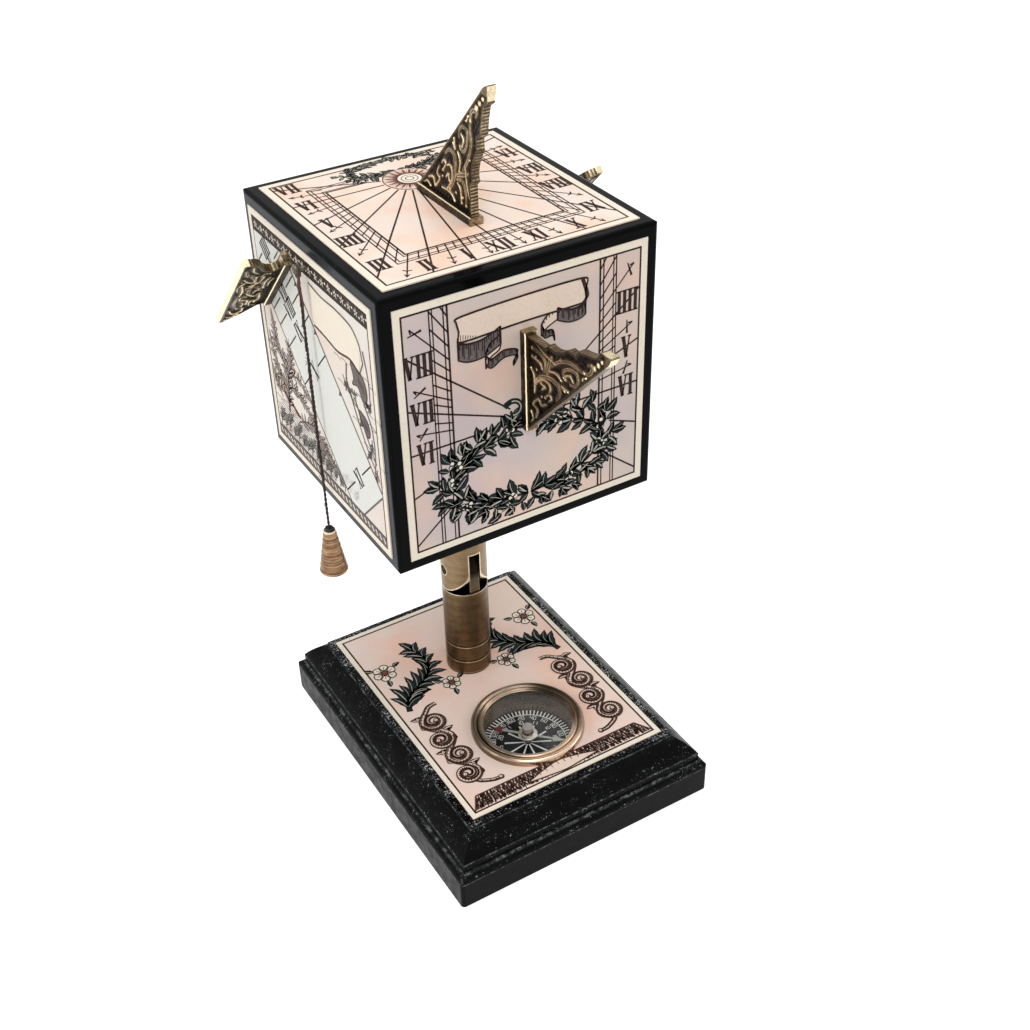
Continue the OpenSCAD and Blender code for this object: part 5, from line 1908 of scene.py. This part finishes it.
@dataclass
class Dials:
    """The five printed dials of the cube."""

    half_side: float = 48.1
    reach: float = 45.1

    def face(self, out: Vec, right: Vec, up: Vec, flip: int = 1) -> Print:
        """A sheet on the cube's face that looks outwards, with its border drawn.

        Args:
            out: the face's outward direction.
            right: the direction of the drawing's x.
            up: the direction of the drawing's y.
            flip: -1 draws everything but the numerals mirrored.

        Returns:
            The sheet.
        """
        way = as_array(out)
        middle = as_array((0, SIZES.post_y, SIZES.cube_mid)) + way * SIZES.half
        sheet = Print(middle + way * SIZES.dial_t, right, up, flip)
        sheet.border(self.half_side, self.half_side)
        return sheet

    def top_sheet(self, rng: random.Random) -> Print:
        """The top dial: hour lines, ladder band, sunburst and a wreath round a bare oval."""
        sheet = self.face((0, 0, 1), (1, 0, 0), (0, 1, 0))
        dial = SquareDial(sheet)
        dial.draw_lines()
        dial.draw_ladder(14)
        dial.draw_numerals({
            "VII": (-40.5 + 40.5j, 40.5 + 8.5j), "VI": (-40.5 + 24j, 40.5 + 26j),
            "V": (-40.5 + 6.8j,), "IIII": (-40.5 - 9.5j,), "III": (-40.5 - 31j,),
            "II": (-28 - 39.6j,), "I": (-13.5 - 39.6j,), "XII": (-1 - 39.6j,),
            "XI": (12.4 - 39.6j,), "X": (28 - 39.6j,), "IX": (40.3 - 31j,), "VIII": (40.4 - 8j,)})
        wreath(sheet, 39.6j, 17, 5.9, 4.3, rng, 8, 0)
        dial.draw_sunburst()
        return sheet

    def south_sheet(self, rng: random.Random) -> Print:
        """The south dial: hour lines that fan down from under a ribbon."""
        sheet = self.face((0, 1, 0), (-1, 0, 0), (0, 0, 1))
        dial = SquareDial(sheet, centre=11.4j, late=6, clear=6)
        dial.draw_lines()
        dial.draw_ladder(30.2)
        dial.draw_numerals({
            "VI": (-40.5 + 15.6j, 40.5 + 15.6j), "VII": (-40.5 - 3.5j,), "VIII": (-40.5 - 19.5j,),
            "IX": (-40.5 - 36.5j,), "X": (-21.8 - 39.6j,), "XI": (-10.6 - 39.6j,), "XII": (-39.6j,),
            "I": (10.3 - 39.6j,), "II": (21.4 - 39.6j,), "III": (40.5 - 36.5j,),
            "IIII": (40.5 - 19.5j,), "V": (40.5 - 3.5j,)})
        ribbon(sheet, -24, 24, 33.5, 42)
        for side in (-1, 1):
            ends = [side * 12 + 20j, side * 20 + 23j, side * 26 + 21j]
            spray(sheet, side * 4 + 22j, ends, 6, rng)
        return sheet

    def north_sheet(self, rng: random.Random) -> Print:
        """The north dial: two upright scales, a bare ribbon and a laurel wreath."""
        sheet = self.face((0, -1, 0), (1, 0, 0), (0, 0, 1))
        centre, reach = -6j, self.reach
        for side in (-1, 1):
            for x, width in ((35.5, 0.5), (34.4, 0.45), (30.4, 0.5), (29, 0.75)):
                sheet.brush([Point(side * x, -reach), Point(side * x, reach)], width)
            sheet.brush([Point(side * 1, -6), Point(side * reach, -6)], 0.7)
            for angle in (20.8, 39.2, -20.8, -39.2):
                way = Point(side, 0) * polar(1, side * angle)
                start = 9 if angle > 0 else 36
                line = clipped(centre + way * start, centre + way * 90,
                               Point(-reach, -reach), Point(reach, reach))
                sheet.brush(list(line), 0.66)
            for angle in (5, 9.9, 15.2, 25.4, 29.6, 34.4, 43.4, 47.4, 51.4, 55, 58.4):
                slope = math.tan(math.radians(angle))
                low, high = (Point(side * x, -6 + x * slope) for x in (29, 35.5))
                if low.imag < reach and high.imag > 0:
                    end = high if high.imag < reach else low + (high - low) * (
                        (reach - low.imag) / (high.imag - low.imag))
                    sheet.brush([low, end], 0.55)
            for angle in (9.9, 29.6, 47.4):
                way = polar(1, angle)
                base, tip = 35.5 / way.real, 42.6 / way.real
                a, b = (Point(side * r * way.real, r * way.imag - 6) for r in (base, tip))
                sheet.cross(a, b)
        for text, spot in (("VIII", -40.2 + 26.6j), ("VII", -40 + 9.2j), ("VI", -39.8 - 6.6j),
                           ("IIII", 40.2 + 26.8j), ("V", 40.2 + 9j), ("VI", 40.2 - 6.4j)):
            sheet.numeral(text, spot, 8.2)
        wreath(sheet, -23.4j, 30.6, 13.4, 8.2, rng, 12, 9)
        ribbon(sheet, -26, 24, 30.8, 40.2)
        for side in (-1, 1):
            curl = swirl(side * 5.6 - 1.2j, 4.2, 1.0, 90 - side * 60, side * 330)
            sheet.brush(curl, (2.4, 0.8), Ink.LEAF, 3)
            sheet.brush(curl[3:-5], 0.5, Ink.PALE, 4)
            sheet.leaf(side * 9.6 - 1.6j, side * 3.2 - 7j, 1.5, side * 0.8)
        return sheet

    def side_sheet(self, side: int, rng: random.Random) -> Print:
        """The east dial, or the west one for side 1: a pale band with slanting hour lines.

        Args:
            side: -1 for east and 1 for west.
            rng: the source of the unevenness.

        Returns:
            The printed sheet.
        """
        sheet = self.face((side, 0, 0), (0, side, 0), (0, 0, 1), -side)
        reach, slant, spread = 45.0, math.sqrt(0.5), 20.55
        for p, q, ink in ((Point(-reach, 40.4), Point(reach, 45), Ink.LINE),
                          (Point(-reach, -45), Point(reach, -41.2), Ink.GREY)):
            sheet.fill([p, Point(q.real, p.imag), q, Point(p.real, q.imag)], ink, 2)
        for i in range(18):
            x = -42.4 + 5 * i
            heel = Point(x, 42.8)
            for turn in (18, 90, 162, 234, 306):
                way = polar(0.42, turn + 90)
                sheet.fill([heel - way, heel + polar(1.75, turn), heel + way], Ink.IVORY, 3)
            sheet.disc(Point(x + 2.5, 42.6 + (0.8 if i % 2 else -0.6)), 0.45, Ink.IVORY, 3,
                       sides=10)
        for i in range(30):
            x = -43.5 + 3 * i
            sheet.brush([Point(x - 0.7, -42.2), Point(x + 0.7, -44)], 0.75, Ink.IVORY, 3)
        for y in (40.2, -41):
            sheet.brush([Point(-reach, y), Point(reach, y)], 0.35, Ink.LINE, 3)
        sheet.fill([-45 + 22.6j, 17.9 - 40.8j, 28.4 - 40.8j, 45 - 24.2j, 45 - 22.6j, -17.4 + 39.8j,
                    -45 + 39.8j], Ink.SKY, 2)
        for a, b in ((-45 + 22.6j, 18.2 - 40.8j), (-17.4 + 39.8j, 45 - 22.6j),
                     (28.4 - 40.8j, 45 - 24.2j)):
            sheet.brush([a, b], 0.7, Ink.GREY, 3)
        for hours, (text, late_text) in enumerate(
                (("IIII", "VIII"), ("V", "VII"), ("VI", "VI"), ("VII", "V"), ("VIII", "IIII"),
                 ("IX", "III"), ("X", "II"), ("XI", "I")), -2):
            along = -39.2 + spread * math.tan(math.radians(15 * hours))
            spot = Point(along, -along) * slant
            for start, end in ((-15.6, -4.6), (4.6, 15.6)):
                line = clipped(spot + start * slant * (1 + 1j), spot + end * slant * (1 + 1j),
                               Point(-reach, -40.6), Point(reach, 39.6))
                if line:
                    sheet.brush(list(line), 0.6, Ink.LINE, 3)
            if abs(spot.real) < 38:
                sheet.numeral(text if side < 0 else late_text, spot, 6.6, 45)
            half = -39.2 + spread * math.tan(math.radians(15 * (hours + 0.5)))
            tick = Point(half, -half) * slant + 16 * slant * (1 + 1j)
            if abs(tick.real) < 43 and abs(tick.imag) < 39:
                sheet.fill([tick + 0.8 - 0.8j, tick - 1.8 - 1.8j, tick - 0.8 + 0.8j], Ink.GREY, 3)
        self.draw_scenery(sheet, rng)
        return sheet

    def draw_scenery(self, sheet: Print, rng: random.Random) -> None:
        """Fills the corners beside the slanting band with a bare ribbon and leaf sprays.

        Args:
            sheet: the print to draw on.
            rng: the source of the unevenness.
        """
        for i in range(30):
            x, y = 18 + 25 * (i % 6) / 5 + rng.uniform(-2, 2), 17 - 8.6 * (i // 6)
            if x + y < 28 - 0.2 * x:
                continue
            start = Point(x, y + rng.uniform(-3, 3))
            stroke = [start, start + Point(2.4, 0.2), start + Point(rng.uniform(4, 6), -0.6)]
            sheet.brush(stroke, 0.26, Ink.GREY if i % 3 else Ink.BROWN)
        top = smooth_line([1 + 38j, 10 + 36.6j, 22 + 36.8j, 33 + 35.4j, 38 + 31j], 8)
        foot = smooth_line([2 + 22.6j, 10 + 22j, 20 + 20.8j, 30 + 22.2j, 36 + 19.6j], 8)
        sheet.strip(top, foot, Ink.IVORY, 4)
        sheet.brush(top, 0.6, Ink.GREY, 5)
        sheet.brush(foot, 0.9, Ink.BROWN, 5)
        sheet.brush([top[-1], 39.4 + 25j, foot[-1]], 0.5, Ink.GREY, 5)
        for centre, size in ((34.6 + 15.4j, 6.4), (36 + 0.2j, 4.4)):
            lobe = smooth_line([centre + size * p for p in
                                (-0.75 + 0.95j, -0.55 + 0.1j, -0.75 - 0.35j, -0.1 - 0.25j,
                                 0.35 - 0.9j, 0.85 - 0.55j, 0.8 + 0.25j, 0.3 + 0.75j)], 6, True)
            sheet.fill(lobe, Ink.GREY, 4)
            sheet.brush(lobe, 0.45, Ink.BROWN, 5, True)
            for k in range(5):
                start = centre + size * Point(0.05 + 0.13 * k, 0.5 - 0.1 * k)
                sheet.brush([start, start - size * Point(0.02, 0.5)], 0.35, Ink.BROWN, 5)
        for line in ([26 + 19j, 25 + 12j, 28 + 6.4j, 33 + 4.4j],
                     [37 + 9j, 41.6 + 2j, 42.6 - 8j, 41 - 17j],
                     [24.6 + 13j, 30 + 2j, 36 - 8j, 42 - 15j],
                     [30 + 8j, 36 - 2j, 40.6 - 9j, 43 - 12j], [40 + 30j, 42.4 + 20j, 42 + 8j]):
            sheet.brush(smooth_line(line, 7), (0.8, 0.4), Ink.GREY, 4)
        for root, ends in ((41 - 3j, (40 - 8j, 37.6 - 11j)), (22 + 13j, (25 + 9j, 30 + 9.4j)),
                           (43 + 12j, (41 + 9j, 39 + 10j)), (43 - 14j, (41.6 - 18j, 40 - 19j))):
            spray(sheet, root, list(ends), 2.9, rng, Ink.GREY, None, 0.7)
        for x in range(-43, 22, 4):
            height = -39.5 + rng.uniform(0, 3.4)
            ends = [Point(x + 1.4, height + 2), Point(x + 3, height + 4)]
            spray(sheet, Point(x, -40), ends, 3.6, rng, Ink.GREY, Ink.PALE, 0.7)
        for root, ends, leaf, thick in (
                (-33 - 30j, [-31 - 21j, -28.6 - 12j, -25 - 6j, -24.4 + 0j], 7, 2.2),
                (-29 - 14j, [-33 - 7j, -37 - 2j, -38 + 5j], 6.4, 1.3),
                (-28 - 11j, [-19 - 9.6j, -13 - 12.6j], 5.4, 1.1),
                (-31 - 20j, [-36 - 17j, -40 - 12j, -42 - 5j], 6, 1.2),
                (-30 - 18j, [-24 - 16j, -17 - 18j, -11 - 22j], 5.6, 1.1),
                (-24 - 30j, [-16 - 26j, -8 - 25j, -1 - 28j], 5.6, 1),
                (-38 - 26j, [-41 - 22j, -43 - 18j], 4.6, 0.9),
                (-8 - 34j, [-2 - 31j, 4 - 32j, 9 - 35j], 4.6, 0.9)):
            spray(sheet, root, ends, leaf, rng, Ink.GREY, Ink.CREAM, thick * 0.8)
        for i in range(13):
            y = -27 - 1.1 * i
            start, end = -44.6 + rng.uniform(0, 6), 12 - 0.9 * i + rng.uniform(-9, 4)
            wave = [Point(x, y + 0.45 * math.sin(x * 0.5 + i))
                    for x in np.linspace(start, end, 26)]
            sheet.brush(wave, 0.3, Ink.GREY if i % 3 else Ink.RUST)
        for i in range(8):
            p = Point(-43.6 + 3.1 * i, -22 - 0.8 * i)
            sheet.leaf(p, p + polar(5.4, 70 + 12 * i), 0.9, 0.4, Ink.RUST, None)

    def build(self, films: Sequence[Material]) -> None:
        """Prints the five dials."""
        rng = random.Random(5)
        sheets = {"top": self.top_sheet(rng), "north": self.north_sheet(rng),
                  "south": self.south_sheet(rng), "east": self.side_sheet(-1, rng),
                  "west": self.side_sheet(1, rng)}
        for name, sheet in sheets.items():
            sheet.build("drawing_" + name, "head", films, "print_dial")


@dataclass
class BasePrint:
    """The print on the base: leaf sprays, scrolls, flowers and a hatched strip."""

    half_w: float = 43.6
    half_h: float = 60.1
    inside: float = 40
    wave: float = 10.9

    def build(self, films: Sequence[Material]) -> None:
        """Prints the sheet on the base."""
        rng = random.Random(9)
        sheet = Print((0, 0, SIZES.deck), (1, 0, 0), (0, 1, 0))
        sheet.border(self.half_w, self.half_h, 1.9, 0.75)
        for side in (-1, 1):
            self.draw_sprays(sheet, side, rng)
            self.draw_scrolls(sheet, side)
        self.draw_strip(sheet, rng)
        sheet.build("drawing_base", "base", films, "print_base")

    def draw_sprays(self, sheet: Print, side: int, rng: random.Random) -> None:
        """Draws the dark leaf sprays and the flowers beside the post.

        Args:
            sheet: the print to draw on.
            side: -1 for the left half and 1 for the right.
            rng: the source of the unevenness.
        """
        def p(x: float, y: float) -> Point:
            """A point on this side of the sheet."""
            return Point(side * x, y)

        arm = smooth_line([p(36.4, 4.4), p(34.6, 9.4), p(30.4, 13.6), p(23.6, 17.4), p(17.6, 23),
                           p(15.6, 31), p(18, 38)], 8)
        widths = np.interp(np.linspace(0, 1, len(arm)), [0, 0.5, 1], [2.6, 2.0, 0.7])
        sheet.brush(arm, widths, Ink.LEAF)
        for i in range(4, len(arm) - 1, 4):
            way = (arm[i + 1] - arm[i - 1]) / abs(arm[i + 1] - arm[i - 1])
            for turn, long in ((48, 12), (-46, 10.5)):
                heading = way * polar(1, turn + rng.uniform(-8, 8))
                tip = arm[i] + heading * long * rng.uniform(0.8, 1.1) * (1 - 0.3 * i / len(arm))
                tip = p(min(tip.real * side, self.inside), tip.imag)
                sheet.leaf(arm[i], tip, rng.uniform(1.5, 2.0), math.copysign(1.3, -turn),
                           light=rng.choice((0.1, 0.16, 0.24)))
        sheet.leaf(arm[-2], p(21, 45), 1.8, side * 0.8, light=0.16)
        sheet.brush([arm[5], arm[5] + 0.4], 0.3, Ink.PALE, 2)
        for centre, radius in ((p(34.6, 31), 5.2), (p(13.4, 10.6), 4.0)):
            rosette(sheet, centre, radius, 12)
            for turn in (40, 160, 280):
                way = polar(1, turn if side > 0 else 180 - turn)
                sheet.leaf(centre + way * radius * 0.95, centre + way * (radius + 4), 1.1, 0.3)

    def draw_scrolls(self, sheet: Print, side: int) -> None:
        """Draws a brown running scroll down each side of the compass.

        Args:
            sheet: the print to draw on.
            side: -1 for the left scroll and 1 for the right.
        """
        def p(x: float, y: float) -> Point:
            """A point on this side of the sheet."""
            return Point(side * x, y)

        def stem(y: float) -> float:
            """How far from the sheet's middle the wavy stem runs."""
            return 32.3 + 3.7 * math.cos(math.pi * (y + 5.6) / self.wave)

        run = [p(25.4, 3.4), p(29, 2.8), *(p(stem(y), y) for y in np.linspace(0.6, -43.6, 18)),
               p(27.2, -46.4), p(23.4, -46.9)]
        double_scroll(sheet, run, 2.5, 1.0)
        for i in range(4):
            y, way = -5.6 - self.wave * i, -1 if i % 2 else 1
            middle = stem(y) - way * 4.9
            curl = [p(middle + v.real * way, y + v.imag) for v in swirl(0j, 4.9, 1.3, 0, -520, 16)]
            double_scroll(sheet, curl, 2.1, 1.1, 6)
            for turn, from_y, long in ((2, 4.6, 5.2), (-56, 6.4, 4.8), (70, -3.4, 4.2),
                                       (110, 2.0, 3.6)):
                root = p(stem(y + from_y) + way * 0.9, y + from_y)
                tip = root + p(way * long * math.cos(math.radians(turn)),
                               long * math.sin(math.radians(turn)))
                tip = p(min(max(tip.real * side, 24.2), 40.3), tip.imag)
                sheet.leaf(root, tip, 1.2, 0.5 * way, Ink.BROWN, Ink.CREAM, 0.4)

    def draw_strip(self, sheet: Print, rng: random.Random) -> None:
        """Draws the hatched strip in front of the compass, with a bare scroll in its middle.

        Args:
            sheet: the print to draw on.
            rng: the source of the unevenness.
        """
        left, right = -37 - 50.4j, 37 - 50.4j
        sheet.fill([-39.6 - 55.2j, 39.6 - 55.2j, right, left], Ink.CREAM, 1)
        for row in range(5):
            for i in range(100):
                x = -37 + 0.745 * i + rng.uniform(-0.3, 0.3)
                y = -50.6 - 1.15 * row
                drop = rng.uniform(1.0, 2.0)
                slant = 1 + 0.018 * row
                hatch = [Point(x * slant, y), Point(x * slant + x * 0.01, y - drop)]
                sheet.brush(hatch, rng.uniform(0.55, 0.9),
                            rng.choice((Ink.BROWN, Ink.BROWN, Ink.LINE)), 2)
        for i in range(34):
            x = -40 + 80 * i / 33 + rng.uniform(-0.6, 0.6)
            sheet.brush([Point(x * 0.98, -55.4), Point(x, -56.8 - rng.uniform(0, 0.8))], 0.4,
                        Ink.BROWN, 2)
        for end, width in ((right, 0.6), (-41 - 57.2j, 0.5)):
            sheet.brush([left, end], width, Ink.BROWN, 3)
        sheet.brush([right, 41 - 57.2j], 0.5, Ink.BROWN, 3)
        top = smooth_line([-16 - 55.4j, -8 - 53j, 0 - 51.6j, 8 - 53j, 16 - 55.4j], 8)
        foot = smooth_line([-16 - 55.6j, -7 - 56.6j, 0 - 57.2j, 7 - 56.6j, 16 - 55.6j], 8)
        sheet.strip(top, foot, Ink.CREAM, 4)
        for edge in (top, foot):
            sheet.brush(edge, 0.5, Ink.BROWN, 5)
        for high, low in list(zip(top, foot))[6:-6:3]:
            sheet.brush([high, (high * 2 + low) / 3], 0.35, Ink.RUST, 5)


def print_card(films: Sequence[Material]) -> None:
    """Prints the compass card: a circle, its ticks and numbers, and a thin star."""
    sheet = Print((0, SIZES.compass_y, SIZES.card_top), (1, 0, 0), (0, 1, 0))
    sheet.film = 0.02
    sheet.ring(0j, 15.9, 0.4, Ink.WHITE, 1, sides=96)
    for i in range(72):
        way = polar(1, 5 * i)
        sheet.brush([way * 16.0, way * 18.6], 0.55, Ink.WHITE)
    for i in range(18):
        angle = 20 * i
        sheet.number(angle or 360, polar(14.2, 90 - angle), 1.9, -angle)
    for i in range(12):
        angle = 30 * i + 15
        sheet.number(10 + i, polar(11.5, 90 - angle), 1.8, -angle)
    for i in range(10):
        way = polar(1, 36 * i + 8)
        sheet.brush([way * 1.2, way * 9.6], [0.5, 0.85], Ink.WHITE)
    sheet.build("card_marks", "base", films, "compass_card")


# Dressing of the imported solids


@dataclass
class Base:
    """The painted plinth with its felt, its turned post and the print on its top."""

    wood: PaintedWood = PaintedWood("black_painted_wood", SIZES.side_top + 0.4, SIZES.plinth_top,
                                    (SIZES.side_top, SIZES.fillet_foot, SIZES.fillet_top,
                                     SIZES.ovolo_top))
    baize: Enamel = Enamel("felt_pad", (0.012, 0.02, 0.014), (0.03, 0.045, 0.034), 0.95, 0.2, 0.3)
    sheet: Paper = Paper("base_paper", (0.93, 0.73, 0.63), (0.96, 0.62, 0.49),
                         (0.82, 0.72, 0.67), 0.55, 40, (1.7, 3.1, 0.4))
    post_brass: PostBrass = PostBrass("antique_turned_brass", (0.19, 0.122, 0.062),
                                      (0.05, 0.029, 0.014), patchy=0.36)
    bolt_steel: Metal = Metal("bolt_steel", (0.55, 0.55, 0.56), (0.3, 0.3, 0.31))

    def build(self) -> None:
        """Gives each of the base's solids its finish."""
        self.wood.dress("base_plinth")
        self.baize.dress("felt_pad")
        self.sheet.dress("base_print")
        self.post_brass.dress("post")
        self.bolt_steel.dress("post_bolt", "post_washer", "head_stud", "head_washer", "head_nut")


@dataclass
class Compass:
    """The compass let into the base, with the cap that its needle carries."""

    # Gilt bezel brass, with painted shade on its sides and back.
    rim: TurnedBrass = TurnedBrass("gilt_turned_brass", (0.83, 0.62, 0.46), (0.1, 0.07, 0.045),
                                   (0, SIZES.compass_y), 0.5, 0.18, 0.03, 0.35, 0.6, 0.12)
    case: TurnedBrass = TurnedBrass("case_brass", (0.34, 0.26, 0.18), (0.24, 0.18, 0.12),
                                    (0, SIZES.compass_y), 0.4, 0.2, 0.0, 0.1, 0.0, 0.15)
    card: Enamel = Enamel("black_card", (0.003, 0.0035, 0.0045), (0.006, 0.007, 0.009), 0.35,
                          0.001)
    glass: CompassGlass = CompassGlass("compass_glass")
    pin: Metal = Metal("pivot_steel", (0.6, 0.6, 0.6), (0.35, 0.35, 0.36), 0.25)
    collar: Metal = Metal("cap_collar", (0.8, 0.77, 0.7), (0.5, 0.48, 0.43), 0.3)
    jewel: Enamel = Enamel("cap_crown", (0.4, 0.35, 0.32), (0.3, 0.26, 0.24), 0.1, 0.003)
    side: Metal = Metal("cap_side", (0.5, 0.4, 0.3), (0.32, 0.25, 0.18), 0.22)
    needle_z: float = 23.7
    collar_section: tuple[tuple[float, float], ...] = (
        (1.0, 0.42), (3.8, 0.42), (3.98, 0.55), (3.98, 0.82), (3.8, 0.96), (1.0, 0.96))
    side_section: tuple[tuple[float, float], ...] = (
        (0.2, 0.9), (2.5, 0.9), (2.5, 1.3), (2.3, 1.42), (2.3, 2.5), (2.22, 2.6), (0.2, 2.6))
    crown_section: tuple[tuple[float, float], ...] = (
        (0.05, 2.55), (2.24, 2.55), (2.24, 4.5), (2.12, 4.7), (1.7, 4.8), (0.05, 4.8))

    def build(self) -> None:
        """Gives each of the compass's solids its finish."""
        turn = math.radians(SIZES.needle_turn)
        paint = NeedlePaint("needle_paint", (0, SIZES.compass_y, 0),
                            (-math.sin(turn), math.cos(turn), 0), SIZES.arrow_from)
        self.rim.dress("compass_bezel")
        self.case.dress("compass_case")
        self.card.dress("compass_dial")
        self.glass.dress("compass_glass")
        self.pin.dress("compass_pivot")
        paint.dress("compass_needle")
        self.side.dress("needle_cap")
        self.make_cap()

    def make_cap(self) -> None:
        """Makes the cap: a pale collar under a tall crown, grey on top."""
        solid, centre = Solid(), (0, SIZES.compass_y, self.needle_z)
        solid.turned(self.collar_section, centre, 0)
        solid.turned(self.side_section, centre, 2)
        solid.turned(self.crown_section, centre, 1)
        cap = solid.build("jewelled_cap", "needle",
                          [self.collar.make(), self.jewel.make(), self.side.make()], "pale_brass")
        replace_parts(cap, "needle_cap")


@dataclass
class Head:
    """The tilting cube on its forked stem."""

    lacquer: Lacquer = Lacquer("black_lacquer", (0, SIZES.post_y, SIZES.cube_mid), SIZES.half)
    board: Enamel = Enamel("floor_board", (0.008, 0.008, 0.009), (0.02, 0.02, 0.021), 0.4, 0.05, 2)
    fork_brass: ForkBrass = ForkBrass("pale_turned_brass", (0.29, 0.2, 0.112),
                                      (0.11, 0.072, 0.039), patchy=0.26)
    # The pin's end is painted dark as painted shade in the fork's hole.
    pin_brass: Metal = Metal("pin_brass_painted_shade", (0.035, 0.024, 0.014), (0.012, 0.009, 0.006), 0.4)
    bob_bronze: BobBronze = BobBronze("bob_bronze", (0.6, 0.365, 0.2), (0.16, 0.09, 0.05),
                                      (SIZES.hook_x, SIZES.post_y), 0.75, 0.26, 0.07, 0.85)
    cap: Enamel = Enamel("bob_cap_black", (0.01, 0.009, 0.008), (0.03, 0.028, 0.026), 0.5)
    peg: Metal = Metal("peg_steel", (0.32, 0.27, 0.2), (0.12, 0.1, 0.08))

    def build(self) -> None:
        """Gives each of the head's solids its finish."""
        self.lacquer.dress("cube_shell")
        self.board.dress("cube_floor")
        self.fork_brass.dress("head_fork")
        self.pin_brass.dress("knuckle_pin")
        # The upright dials' ground is darker than the top's: partly their own tint, partly painted
        # shade.
        upright = ((0.7, 0.59, 0.53), (0.84, 0.6, 0.48), (0.6, 0.51, 0.54), 0.65)
        side = ((0.85, 0.78, 0.69), (0.88, 0.7, 0.61), (0.8, 0.77, 0.72), 0.6)
        tints = {"top": ((0.95, 0.79, 0.68), (0.97, 0.66, 0.5), (0.93, 0.83, 0.76), 0.5),
                 "north": upright, "south": upright, "east": side, "west": side}
        for number, (name, tint) in enumerate(tints.items()):
            shift = (number * 3.7, number * 1.9, 0)
            Paper("paper_" + name, *tint, 30, shift).dress("dial_" + name)
        self.peg.dress("plumb_peg")
        self.bob_bronze.dress("plumb_bob")
        self.cap.dress("bob_plug")


def main() -> None:
    """Builds the studio and every sub-assembly."""
    logging.basicConfig(level=logging.INFO, format="%(name)s: %(message)s")
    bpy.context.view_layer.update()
    studio = Studio()
    studio.place_camera()
    PlumbLine().build(random.Random(7))
    Gnomons().build()
    Base().build()
    Compass().build()
    Head().build()
    films = [film.make() for film in INK_FILMS]
    Dials().build(films)
    BasePrint().build(films)
    print_card(films)
    studio.lay_floor()
    studio.light()


if __name__ == "__main__":
    main()
